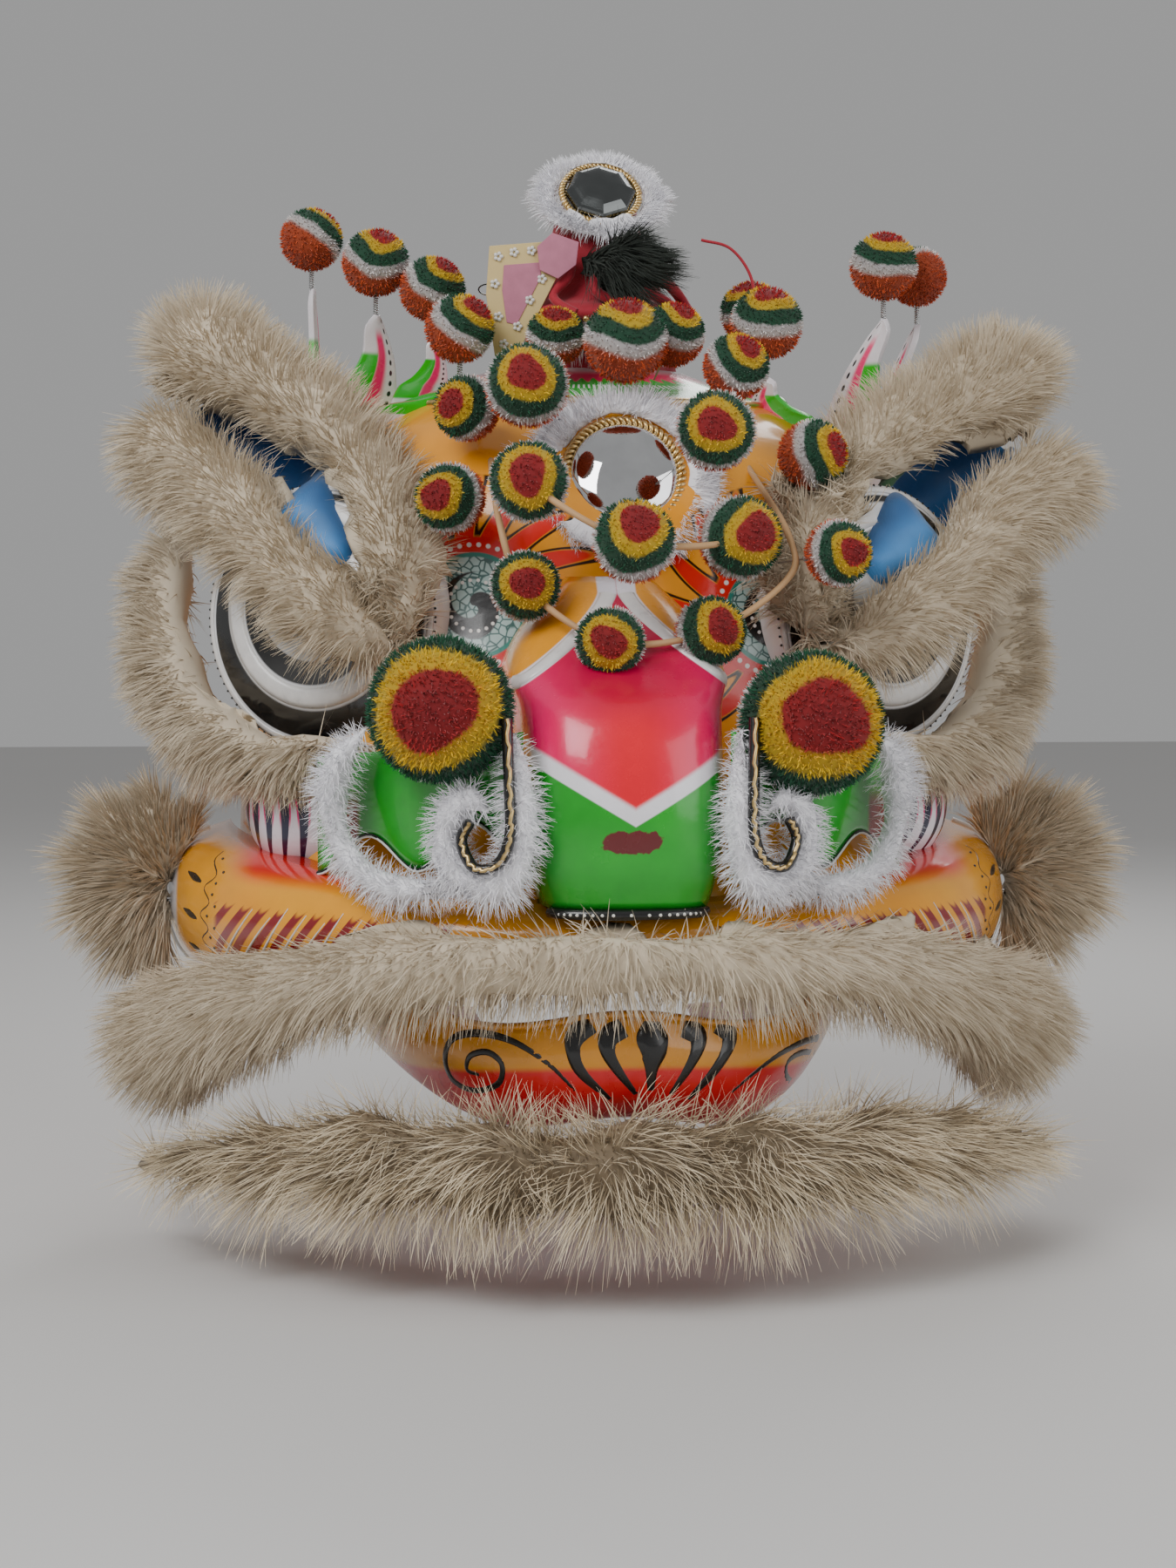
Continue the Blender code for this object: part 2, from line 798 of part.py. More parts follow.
def make_nostril(side, name):
    """One green nostril wing: a bulging leaf with a pointed lower edge."""
    columns = 9
    rows = []
    for down in (0.0, 0.3, 0.6, 1.0):
        row = []
        for i in range(columns):
            share = i / (columns - 1)
            x = NOSE_HALF_WIDTH * 0.98 + NOSTRIL_SPAN * share
            tip = 0.55 + 0.45 * math.cos(4 * math.pi * share) * (1 - 0.3 * share)
            z = NOSE_BOTTOM + NOSTRIL_HEIGHT * (1.28 - 0.25 * share - (0.55 + 0.4 * tip) * down)
            bulge = NOSTRIL_BULGE * math.sin(math.pi * min(share + 0.12, 1.0)) * (1 - down ** 2 * 0.5)
            y = -(NOSE_REACH * 0.90 - NOSTRIL_SPAN * 0.78 * share ** 1.4) - bulge * 0.6
            row.append(Vector((side * x, y, z)))
        rows.append(row)
    bm = sheet_from(rows)
    away = Vector((side * NOSE_HALF_WIDTH, 0, NOSE_BOTTOM))
    return wall_and_core(name, bm, away, PAPIER_WALL, "nose_paint")


def basis(normal, up):
    """Two directions square to a normal, the second as near to up as can be."""
    normal = normal.normalized()
    right = up.cross(normal).normalized()
    return right, normal.cross(right).normalized(), normal


def dome_sheet(centre, normal, radius, tall, profile, sides):
    """A dome turned about a normal, from rows of radius share and height."""
    right, top, ahead = basis(normal, Vector((0, 0, 1)))
    rows = []
    for share, height in profile[:-1]:
        row = []
        for i in range(sides):
            turn = 2 * math.pi * i / sides
            out = right * math.cos(turn) + top * (tall * math.sin(turn))
            row.append(centre + out * (radius * share) + ahead * height)
        rows.append(row)
    return sheet_from(rows, closed=True, last_tip=centre + ahead * profile[-1][1])


def shell_spot(shell_tree, across, up):
    """Where a line from the front meets the shell."""
    return shell_tree.ray_cast(at(across, 3.0, up), Vector((0, 1, 0)))[0]


def facing_side(facing, side):
    """A facing given for the right side, turned to one side of the head."""
    across, along, up = facing
    return Vector((side * across, along, up)).normalized()


def make_eye(side, name, tree):
    """One eye: a shallow dome on a skirt that reaches the shell."""
    spot = shell_spot(tree, side * EYE_SPOT[0], EYE_SPOT[1])
    facing = facing_side(EYE_FACING, side)
    centre = spot + facing * EYE_SEAT
    profile = [
        (1.00, -EYE_SKIRT),
        (1.00, 0.0),
        (0.66, EYE_DOME * 0.50),
        (0.34, EYE_DOME * 0.85),
        (0.00, EYE_DOME),
    ]
    bm = dome_sheet(centre, facing, EYE_RADIUS, EYE_TALL, profile, 13)
    back = centre - facing * EYE_RADIUS
    return wall_and_core(name, bm, back, PAPIER_WALL, "eye_paint", filled=True)


def make_gill(side, name, tree):
    """One gill: a small striped bulge between the eye and the cheek."""
    spot = shell_spot(tree, side * GILL_SPOT[0], GILL_SPOT[1])
    facing = facing_side(GILL_FACING, side)
    centre = spot + facing * GILL_SEAT
    profile = [(1.0, -GILL_SKIRT), (1.0, 0.0), (0.62, GILL_DOME * 0.75), (0.0, GILL_DOME)]
    bm = dome_sheet(centre, facing, GILL_RADIUS, GILL_TALL, profile, 8)
    back = centre - facing * GILL_RADIUS
    return wall_and_core(name, bm, back, PAPIER_WALL, "gill_paint", filled=True)


def far_shift(side, share):
    """The right ear spreads wider and lower towards its tip, as the photo shows."""
    if side < 0:
        return Vector((0, 0, 0))
    return Vector(EAR_SPREAD) * (share * HALF_WIDTH)


def make_ear(side, name):
    """One ear: a long cloth trough, open to the front."""
    foot = at(side * EAR_FOOT[0], *EAR_FOOT[1:])
    tip = at(side * EAR_TIP[0], *EAR_TIP[1:]) + far_shift(side, 1.0)
    ahead = (tip - foot).normalized()
    opening = Vector((0, -1, 0))
    opening = (opening - ahead * opening.dot(ahead)).normalized()
    wide = ahead.cross(opening).normalized()
    rows = []
    stations = 6
    for i in range(1, stations):
        share = i / stations
        swell = math.sin(math.pi * share) ** 0.6
        centre = foot + ahead * (EAR_LENGTH * share)
        row = []
        for j in range(7):
            turn = math.radians(-90 + 30 * j)
            row.append(
                centre
                + wide * (EAR_HALF_WIDTH * swell * math.sin(turn))
                - opening * (EAR_DEPTH * swell * math.cos(turn))
            )
        rows.append(row)
    bm = sheet_from(rows, first_tip=foot, last_tip=foot + ahead * EAR_LENGTH)
    middle = foot + ahead * EAR_LENGTH * 0.5
    ear = wall_and_core(name, bm, middle, EAR_WALL, "ear_cloth")
    core_of(ear, EAR_CORE_GAPS * GAP)
    return ear


def ear_rows(table, side):
    """An ear roll's rows, spread on the right towards the tip as that ear is."""
    rows = placed(table, side)
    near = min(row[0] * side for row in rows)
    far = max(row[0] * side for row in rows)
    for row in rows:
        shift = far_shift(side, (row[0] * side - near) / (far - near))
        row[0] += shift.x
        row[2] += shift.z
    return rows


def make_ear_fur(side, name):
    """The deep fur round one ear, one roll above its trough and one below."""
    flat = Vector((0, 1, 0))
    upper = roll(name, ear_rows(EAR_UPPER_ROLL, side), EAR_FUR, 9, 7, "beige_fur", up=flat)
    lower = roll("lower", ear_rows(EAR_LOWER_ROLL, side), EAR_FUR, 8, 7, "beige_fur", up=flat)
    return fuse(name, [upper, lower])


def make_tuft(side, name):
    """A fan of fur at the end of one cheek."""
    root = Vector((side * CHEEK_HALF_WIDTH * 0.96, -CHEEK_REACH * 0.24, NOSE_BOTTOM * 0.72))
    out = Vector((side * 0.95, -0.20, 0.10)).normalized()
    up = Vector((0, 0, 1))
    across = out.cross(up).normalized()
    locks = 6
    shells = []
    for share, thick in ((0.05, 0.45), (0.55, 1.0), (1.0, 0.30)):
        loop = []
        for sign in (1, -1):
            order = range(2 * locks + 1) if sign > 0 else range(2 * locks, -1, -1)
            for i in order:
                turn = math.radians(-82 + 190 * i / (2 * locks))
                long = TUFT_LENGTH * (1 - 0.16 * (i % 2) * share) * (0.82 + 0.18 * math.cos(turn - 0.4))
                along = out * math.cos(turn) + up * math.sin(turn)
                loop.append(root + along * long * share + across * (sign * TUFT_THICKNESS * thick / 2))
        shells.append(loop)
    bm = bmesh.new()
    rings = [[bm.verts.new(p) for p in loop] for loop in shells]
    for a, b in zip(rings, rings[1:]):
        bridge(bm, a, b, True)
    half = 2 * locks + 1
    for ring in (rings[0], rings[-1]):
        for i in range(half - 1):
            bm.faces.new((ring[i], ring[i + 1], ring[2 * half - 2 - i], ring[2 * half - 1 - i]))
    return add_object(name, bm, "beige_fur")


def make_jaw():
    """The lower jaw: a U-shaped tray whose arms end in lugs round the grip bar."""
    columns = 15
    rows = []
    for reach, drop in JAW_SECTION:
        row = []
        for i in range(columns):
            turn = math.radians(-90 + 180 * i / (columns - 1))
            side_share = abs(math.sin(turn))
            top = -0.20 * JAW_HEIGHT - 0.17 * JAW_HEIGHT * math.sin(math.pi * side_share) ** 2
            height = JAW_HEIGHT * (1 - 0.35 * side_share ** 3)
            x = JAW_HALF_WIDTH * reach * math.sin(turn)
            y = ARM_OVERRUN - (JAW_REACH + ARM_OVERRUN) * reach * abs(math.cos(turn)) ** 0.85
            row.append(Vector((x, y, top - height * drop)))
        rows.append(row)
    bm = sheet_from(rows)
    tray = wall_and_core("jaw", bm, Vector((0, 0, JAW_HEIGHT)), JAW_WALL, "papier_yellow")
    lugs = []
    for side in (-1, 1):
        centre_x = side * (JAW_HALF_WIDTH - JAW_WALL / 2 - LUG_WIDTH / 2)
        lugs.append(cylinder("lug", centre_x, LUG_WIDTH, LUG_RADIUS, "papier_yellow", 12))
    bore = cylinder("bore", 0.0, JAW_HALF_WIDTH * 3, BAR_RADIUS + HINGE_CLEARANCE, "bamboo", 14)
    jaw = fuse("jaw", [tray, *lugs])
    boolean(jaw, bore, "DIFFERENCE")
    bpy.data.objects.remove(bore, do_unlink=True)
    main_body(jaw)
    return jaw


def cylinder(name, centre_x, length, radius, finish_name, sides):
    """A round bar along X."""
    bm = bmesh.new()
    bmesh.ops.create_cone(
        bm, cap_ends=True, segments=sides, radius1=radius, radius2=radius, depth=length,
        matrix=Matrix.Translation((centre_x, 0, 0)) @ Matrix.Rotation(math.pi / 2, 4, "Y"),
    )
    return add_object(name, bm, finish_name, smooth=False)


def make_grip_bar():
    """The bar across the head that the dancer holds and the jaw turns on."""
    inside = shell_point(math.pi / 2, 0.0).x - PAPIER_WALL - BAR_END_CLEARANCE
    return cylinder("grip_bar", 0.0, 2 * inside, BAR_RADIUS, "bamboo", 14)


def lathe_along(name, foot, ahead, profile, sides, finish_name):
    """A solid turned about a line: rows of distance and radius, tips at both ends."""
    right, top, ahead = basis(ahead, Vector((0.3, 1, 0.1)))
    rings = []
    for distance, radius in profile[1:-1]:
        rings.append(
            [
                foot + ahead * distance
                + (right * math.cos(2 * math.pi * i / sides) + top * math.sin(2 * math.pi * i / sides)) * radius
                for i in range(sides)
            ]
        )
    first = foot + ahead * profile[0][0]
    last = foot + ahead * profile[-1][0]
    return add_object(name, sheet_from(rings, True, first, last), finish_name)


def ball_profile(start, radius, steps):
    """Rows of distance and radius for a ball whose near pole is at a distance."""
    centre = start + radius
    rows = []
    for i in range(1, steps):
        turn = math.pi * i / steps
        rows.append((centre - radius * math.cos(turn), radius * math.sin(turn)))
    return rows + [(centre + radius, 0.0)]


def make_pompom(name, centre, radius, foot, sides=6, steps=5):
    """A pompom with the wire spring that carries it, as one solid."""
    ahead = (centre - foot).normalized()
    reach = (centre - foot).length
    neck = reach - radius * 0.98
    profile = [(0.0, 0.0), (0.0005, SPRING_RADIUS), (neck, SPRING_RADIUS)]
    profile += ball_profile(reach - radius, radius, steps)
    return lathe_along(name, foot, ahead, profile, sides, "pompom_pile")


def make_hoop(name, ends, table, stations):
    """A rattan hoop from the forehead with its pompoms threaded on it."""
    beads = [[*at(a, f, u), 1.0] for a, f, u, _ in table]
    rows = [[*ends[0], 1.0], *beads, [*ends[1], 1.0]]
    hoop = roll(name, rows, RATTAN_RADIUS, stations, 4, "rattan", relief=0.0, up=Vector((0, 1, 0.2)))
    balls = []
    for across, forward, up, size in table:
        if size:
            radius = POMPOM_RADIUS * size
            foot = at(across, forward, up) - Vector((0, 0, radius))
            profile = [(0.0, 0.0)] + ball_profile(0.0, radius, 5)
            balls.append(lathe_along("ball", foot, Vector((0, 0, 1)), profile, 7, "pompom_pile"))
    return fuse(name, [hoop, *balls])


def make_fin(number, row, tip, tree):
    """One painted crescent fin, standing on the shell under its pompom's wire."""
    across, forward, up, width, turn = row
    flip = -1.0 if across > 0 else 1.0
    foot = tree.find_nearest(at(across, forward, up))[0]
    wide = Vector((math.cos(math.radians(turn)) * flip, math.sin(math.radians(turn)) * flip, 0))
    rise = tip - foot
    thick = wide.cross(rise).normalized()
    bm = bmesh.new()
    faces = []
    for sign in (-0.5, 0.5):
        ring = [
            bm.verts.new(
                foot + wide * (w * FIN_WIDTH * width) + rise * h + thick * (sign * FIN_THICKNESS)
            )
            for w, h in FIN_OUTLINE
        ]
        faces.append(ring)
    bridge(bm, faces[0], faces[1], True)
    bm.faces.new(faces[0])
    bm.faces.new(faces[1])
    return add_object(f"fin_{number}", bm, "fin_paint", smooth=False)


def make_mirror(name, centre, normal, radius):
    """A domed mirror with a round edge."""
    profile = [
        (0.0, 0.0),
        (0.0, radius),
        (MIRROR_EDGE, radius),
        (MIRROR_EDGE + MIRROR_DOME * 0.55, radius * 0.68),
        (MIRROR_EDGE + MIRROR_DOME, 0.0),
    ]
    return lathe_along(name, centre, normal, profile, 14, "mirror_glass")


def make_ring_fur(name, centre, normal, radius, depth, tall, stations, finish_name="white_fur"):
    """A ring of fur in locks round a mirror."""
    right, top, ahead = basis(normal, Vector((0, 0, 1)))
    bm = bmesh.new()
    rings = []
    sides = 5
    for i in range(stations):
        turn = 2 * math.pi * i / stations
        out = right * math.cos(turn) + top * (tall * math.sin(turn))
        middle = centre + out * radius
        ring = []
        for j in range(sides):
            angle = 2 * math.pi * j / sides
            wave = lock_wave(i, j, LOCK_RELIEF)
            ring.append(
                middle
                + out.normalized() * (depth * wave * math.cos(angle))
                + ahead * (depth * RING_FLATNESS * wave * math.sin(angle))
            )
        rings.append([bm.verts.new(p) for p in ring])
    for i in range(stations):
        bridge(bm, rings[i], rings[(i + 1) % stations], True)
    return add_object(name, bm, finish_name)


def make_horn():
    """The cloth-wrapped horn with its brim, on the crown."""
    foot = at(*HORN_FOOT)
    ahead = Vector(HORN_LEAN)
    profile = [(0.0, 0.0)]
    for up, radius in HORN_PROFILE:
        size = HORN_BRIM if radius > HORN_BRIM_FROM else HORN_RADIUS * radius
        profile.append((HORN_HEIGHT * up, size))
    profile.append((HORN_HEIGHT * HORN_TOP, 0.0))
    horn = lathe_along("horn", foot, ahead, profile, 12, "horn_cloth")
    return horn, foot, ahead.normalized()


def make_tag(foot):
    """The card tag that hangs beside the horn, a plain card on edge."""
    centre = foot + Vector((TAG_ACROSS, -TAG_FORWARD, HORN_HEIGHT * TAG_UP))
    bm = bmesh.new()
    rings = []
    for depth in (0.0, TAG_THICKNESS):
        rings.append(
            [bm.verts.new(centre + Vector((a * TAG_SIZE, depth, u * TAG_SIZE))) for a, u in TAG_OUTLINE]
        )
    bridge(bm, rings[0], rings[1], True)
    bm.faces.new(rings[0])
    bm.faces.new(rings[1])
    return add_object("tag", bm, "card", smooth=False)


def build():
    """Makes every piece, each cut clear of those that it seats on."""
    for thing in list(bpy.data.objects):
        bpy.data.objects.remove(thing, do_unlink=True)
    shell = make_head_shell()
    shell_core = CORES["head_shell"]
    bm = bmesh.new()
    bm.from_mesh(shell_core.data)
    tree = BVHTree.FromBMesh(bm)
    bm.free()

    make_grip_bar()
    upper_jaw = make_upper_jaw()
    cut_clear(upper_jaw, [shell])
    nose = make_nose()
    cut_clear(nose, [shell, upper_jaw])
    hard = [shell, upper_jaw, nose]

    for side, word in ((-1, "left"), (1, "right")):
        eye = make_eye(side, f"eye_{word}", tree)
        cut_clear(eye, hard)
        gill = make_gill(side, f"gill_{word}", tree)
        cut_clear(gill, hard + [eye])
        nostril = make_nostril(side, f"nostril_{word}")
        cut_clear(nostril, hard)
        ear = make_ear(side, f"ear_{word}")
        cut_clear(ear, hard + [eye])
        hard += [eye, gill, nostril, ear]

    tips = {}
    for order, (number, row) in enumerate(FINS.items(), start=1):
        across, forward, up, size, _ = POMPOMS[number - 1]
        under = POMPOM_RADIUS * size + SPRING_SHOWN
        tips[number] = at(across, forward, up) - Vector((0, 0, under))
        fin = make_fin(order, row, tips[number], tree)
        cut_clear(fin, hard)
        hard.append(fin)

    mirror_facing = Vector(MIRROR_FACING).normalized()
    mirror_centre = shell_spot(tree, *MIRROR_SPOT) + mirror_facing * MIRROR_LIFT
    mirror = make_mirror("forehead_mirror", mirror_centre, mirror_facing, MIRROR_RADIUS)
    mirror_fur = make_ring_fur(
        "mirror_fur", mirror_centre, mirror_facing, MIRROR_RADIUS + MIRROR_FUR * RING_SPREAD,
        MIRROR_FUR, 1.0, 11,
    )
    cut_clear(mirror, [shell])
    hard.append(mirror)
    horn, horn_foot, horn_axis = make_horn()
    cut_clear(horn, [shell])
    hard.append(horn)
    horn_facing = Vector(HORN_MIRROR_FACING).normalized()
    horn_mirror_centre = horn_foot + horn_axis * (HORN_HEIGHT * HORN_MIRROR_UP)
    horn_mirror_centre += horn_facing * HORN_MIRROR_OUT
    horn_mirror = make_mirror("horn_mirror", horn_mirror_centre, horn_facing, HORN_MIRROR_RADIUS)
    cut_clear(horn_mirror, [horn])
    hard.append(horn_mirror)

    pompoms = []
    for number, (across, forward, up, size, aim) in enumerate(POMPOMS, start=1):
        centre = at(across, forward, up)
        name = f"pompom_{number}"
        if number in tips:
            foot = tips[number] + Vector((0, 0, WIRE_CLEARANCE))
            pompoms.append(make_pompom(name, centre, POMPOM_RADIUS * size, foot))
        else:
            inside = at(aim, forward * WIRE_AIM_FORWARD, min(up, WIRE_AIM_TOP) * WIRE_AIM_UP)
            inward = (inside - centre).normalized()
            foot = tree.ray_cast(centre, inward)[0] + inward * PAPIER_WALL
            pompoms.append(make_pompom(name, centre, POMPOM_RADIUS * size, foot))
            cut_clear(pompoms[-1], [shell])
    for number, (side, up) in enumerate(BIG_POMPOMS, start=1):
        centre = at(side * BIG_POMPOM_ACROSS, BIG_POMPOM_FORWARD, up)
        wire = facing_side(BIG_POMPOM_WIRE, side)
        foot = centre + wire * (BIG_POMPOM_RADIUS * BIG_POMPOM_REACH)
        pompoms.append(
            make_pompom(f"big_pompom_{number}", centre, BIG_POMPOM_RADIUS, foot, sides=10, steps=6)
        )
        cut_clear(pompoms[-1], hard)
    outer_ends = [shell_spot(tree, *end) for end in OUTER_HOOP_ENDS]
    inner_ends = [shell_spot(tree, *end) for end in INNER_HOOP_ENDS]
    hoops = [
        make_hoop("outer_hoop", outer_ends, OUTER_HOOP, 16),
        make_hoop("inner_hoop", inner_ends, INNER_HOOP, 13),
    ]
    for hoop in hoops:
        cut_clear(hoop, [shell, mirror, nose])
    hard += pompoms + hoops

    cut_clear(mirror_fur, hard)
    horn_fur = make_ring_fur(
        "horn_fur", horn_mirror_centre, horn_facing, HORN_MIRROR_RADIUS + HORN_FUR * RING_SPREAD,
        HORN_FUR, HORN_MIRROR_TALL, 10,
    )
    cut_clear(horn_fur, hard)
    hair_rows = [
        [*(horn_foot + Vector((across, -forward, HORN_HEIGHT * up))), size]
        for across, forward, up, size in HAIR_ROLL
    ]
    horn_hair = roll("horn_hair", hair_rows, HAIR_FUR, 5, 7, "black_hair", relief=0.2)
    cut_clear(horn_hair, hard + [horn_fur])
    tag = make_tag(horn_foot)
    cut_clear(tag, [horn, horn_fur, horn_hair] + pompoms)

    soft = []
    flat = Vector((0, 1, 0))
    for side, word in ((-1, "left"), (1, "right")):
        for piece in (
            make_ear_fur(side, f"ear_fur_{word}"),
            roll(f"eye_fur_{word}", placed(EYE_ROLL, side), EYE_FUR, 11, 7, "beige_fur"),
            make_tuft(side, f"cheek_tuft_{word}"),
        ):
            cut_clear(piece, hard + soft)
            soft.append(piece)
        white = fuse(
            f"nostril_fur_{word}",
            [
                roll("curl", placed(NOSTRIL_CURL, side), NOSTRIL_FUR, 11, 5, "white_fur", up=flat),
                roll("edge", placed(NOSTRIL_EDGE, side), NOSTRIL_FUR, 9, 5, "white_fur", up=flat),
            ],
        )
        cut_clear(white, hard + soft)
        soft.append(white)
    lip = roll("lip_fur", whole_width(LIP_ROLL), LIP_FUR, 18, 7, "beige_fur")
    cut_clear(lip, hard + soft)
    soft.append(lip)

    jaw = make_jaw()
    cut_clear(jaw, [upper_jaw, lip])
    beard = roll(
        "beard", whole_width(BEARD_ROLL), BEARD_DEPTH, 21, 8, "beige_fur",
        tall=BEARD_DROP / BEARD_DEPTH, relief=LOCK_RELIEF * 1.4,
    )
    cut_clear(beard, [jaw, lip])
    remove_cores()


build()
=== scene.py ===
"""Looks of the lion dance head: lacquered papier, cloth, strands of fur, wool pompoms, braid.

Laid out as an add-on that runs as a script. Each operator makes one piece or one group of
like pieces, and the panel lists them. Metres, +Z up, the face looks along -Y.
"""

import math

import bmesh
import bpy
from bpy.props import FloatProperty, FloatVectorProperty, IntProperty, PointerProperty
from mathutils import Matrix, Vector, noise
from mathutils.bvhtree import BVHTree


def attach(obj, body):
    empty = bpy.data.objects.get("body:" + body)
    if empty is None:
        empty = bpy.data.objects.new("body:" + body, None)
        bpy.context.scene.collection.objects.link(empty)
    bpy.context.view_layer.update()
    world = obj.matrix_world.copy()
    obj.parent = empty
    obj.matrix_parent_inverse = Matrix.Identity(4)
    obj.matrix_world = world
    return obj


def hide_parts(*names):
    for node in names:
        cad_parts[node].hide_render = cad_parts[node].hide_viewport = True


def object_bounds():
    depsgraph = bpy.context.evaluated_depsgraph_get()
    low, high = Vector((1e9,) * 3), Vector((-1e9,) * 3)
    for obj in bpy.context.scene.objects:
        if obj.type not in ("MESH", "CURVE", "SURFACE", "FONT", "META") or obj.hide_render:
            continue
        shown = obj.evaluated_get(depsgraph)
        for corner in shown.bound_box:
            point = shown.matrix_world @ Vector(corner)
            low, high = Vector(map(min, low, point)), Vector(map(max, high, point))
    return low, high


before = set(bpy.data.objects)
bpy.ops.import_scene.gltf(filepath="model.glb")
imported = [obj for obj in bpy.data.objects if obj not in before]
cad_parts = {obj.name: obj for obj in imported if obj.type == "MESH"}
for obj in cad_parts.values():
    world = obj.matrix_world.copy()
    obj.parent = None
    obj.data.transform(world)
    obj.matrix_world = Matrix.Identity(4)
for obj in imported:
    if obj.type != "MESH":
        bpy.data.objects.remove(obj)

bl_info = {
    "name": "Lion dance head looks",
    "version": (1, 0, 0),
    "blender": (4, 5, 0),
    "location": "View3D > Sidebar > Lion head",
    "description": "Makes the painted, furred and trimmed pieces of a lion dance head",
    "category": "Object",
}

CAD_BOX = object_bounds()

# Sizes of the papier head, as in the part
HALF_WIDTH = 0.250
FRONT_REACH = 0.300
BACK_REACH = 0.210
CROWN_HEIGHT = 0.425
PAPIER_WALL = 0.003
SHELL_BOXINESS = 0.86
SHELL_TOP = 0.97

JAW_HALF_WIDTH = 0.178
JAW_REACH = 0.352
JAW_HEIGHT = 0.072
ARM_OVERRUN = 0.011
BAR_RADIUS = 0.008
LUG_RADIUS = 0.018
LUG_WIDTH = 0.014

NOSE_HALF_WIDTH = 0.066
NOSE_REACH = 0.370
NOSE_BOTTOM = 0.052
NOSE_HEIGHT = 0.205
NOSTRIL_SPAN = 0.128
NOSTRIL_HEIGHT = 0.085
NOSTRIL_BULGE = 0.030
CHEEK_HALF_WIDTH = 0.305
CHEEK_REACH = 0.345
CHEEK_HEIGHT = 0.105

EYE_RADIUS = 0.088
EYE_DOME = 0.022
EYE_SKIRT = 0.040
GILL_RADIUS = 0.046
GILL_DOME = 0.018
GILL_SKIRT = 0.030
EAR_LENGTH = 0.215
EAR_HALF_WIDTH = 0.034
EAR_DEPTH = 0.046

# The ear's lining stands forward over the eye near its foot: how far, and where that ends
EAR_LINING = 0.060
EAR_LINING_END = 0.62
EAR_LINING_FADE = 0.30

MIRROR_RADIUS = 0.037
MIRROR_DOME = 0.012
MIRROR_EDGE = 0.004
MIRROR_LIFT = -0.002
HORN_RADIUS = 0.052
HORN_HEIGHT = 0.142
HORN_BRIM = 0.070
HORN_SEAT = 0.950
HORN_MIRROR_RADIUS = 0.026
TAG_SIZE = 0.062
FIN_WIDTH = 0.052
FIN_THICKNESS = 0.006
POMPOM_RADIUS = 0.025
BIG_POMPOM_RADIUS = 0.047
SPRING_SHOWN = 0.013
RATTAN_RADIUS = 0.0024

SHELL_SECTIONS = [
    # level, half_width, front, back
    (0.00, 0.94, 1.00, 0.86),
    (0.10, 1.00, 1.00, 0.92),
    (0.25, 1.00, 0.88, 0.98),
    (0.40, 0.99, 0.74, 1.00),
    (0.55, 0.98, 0.68, 1.00),
    (0.70, 0.92, 0.65, 0.96),
    (0.82, 0.76, 0.55, 0.82),
    (0.90, 0.55, 0.38, 0.60),
    (0.95, 0.30, 0.20, 0.32),
]
SHELL_RIM = [
    # turn, level
    (0, 0.085),
    (50, 0.03),
    (95, -0.02),
    (130, 0.08),
    (155, 0.30),
    (180, 0.36),
]
NOSE_SECTIONS = [
    # level, half_width, reach
    (0.00, 0.80, 0.975),
    (0.14, 0.93, 1.00),
    (0.42, 0.97, 1.00),
    (0.60, 1.00, 0.955),
    (0.70, 1.08, 0.87),
    (0.84, 0.88, 0.76),
    (1.00, 0.42, 0.64),
]
JAW_SECTION = [
    # share, reach, drop
    (0.00, 1.00, 0.00),
    (0.25, 1.01, 0.35),
    (0.55, 0.97, 0.80),
    (0.75, 0.88, 1.00),
    (1.00, 0.45, 1.10),
]
CHEEK_SECTION = [
    # drop, inward
    (0.00, 0.22),
    (0.12, 0.07),
    (0.45, 0.00),
    (0.80, 0.03),
    (1.00, 0.10),
]
HORN_PROFILE = [
    # up, radius
    (0.00, 1.15),
    (0.22, 1.00),
    (0.30, 0.92),
    (0.33, 1.35),
    (0.37, 1.35),
    (0.42, 0.86),
    (0.66, 0.66),
    (0.86, 0.52),
    (1.00, 0.20),
]

# Each small pompom, and the way that its red cap faces
POMPOMS = [
    # across, forward, up, size, aim, cap
    (-0.79, -0.20, 1.200, 0.96, 0.0, (0.60, 0.10, 0.80)),
    (-0.60, -0.07, 1.150, 1.02, 0.0, (0.25, -0.42, 0.87)),
    (-0.436, 0.00, 1.100, 0.99, 0.0, (0.50, -0.35, 0.80)),
    (-0.37, 0.27, 1.016, 1.00, 0.0, (0.60, -0.45, 0.65)),
    (-0.105, 0.33, 1.000, 0.85, -0.08, (0.00, -0.60, 0.80)),
    (-0.216, 0.73, 0.899, 1.14, -0.14, (-0.08, -0.93, 0.28)),
    (0.068, 0.53, 0.981, 1.18, 0.05, (0.00, -0.40, 0.92)),
    (0.215, 0.40, 1.000, 0.92, 0.16, (0.30, -0.40, 0.86)),
    (-0.368, 0.60, 0.870, 0.92, -0.24, (-0.60, -0.78, 0.10)),
    (-0.42, 0.75, 0.725, 0.96, -0.26, (-0.50, -0.85, 0.05)),
    (0.57, 0.93, 0.640, 0.89, 0.13, (0.42, -0.88, 0.02)),
    (0.26, 0.87, 0.826, 1.08, 0.29, (-0.10, -0.97, 0.12)),
    (0.56, 0.64, 0.798, 0.97, 0.34, (0.72, -0.65, 0.18)),
    (0.36, 0.59, 0.938, 0.92, 0.24, (0.35, -0.62, 0.66)),
    (0.50, 0.27, 1.028, 1.06, 0.0, (0.10, -0.42, 0.88)),
    (0.505, 0.00, 1.065, 0.95, 0.0, (-0.20, -0.40, 0.88)),
    (0.916, -0.07, 1.153, 1.04, 0.0, (0.10, -0.38, 0.90)),
    (1.05, -0.20, 1.146, 0.93, 0.0, (-0.50, 0.62, 0.58)),
]
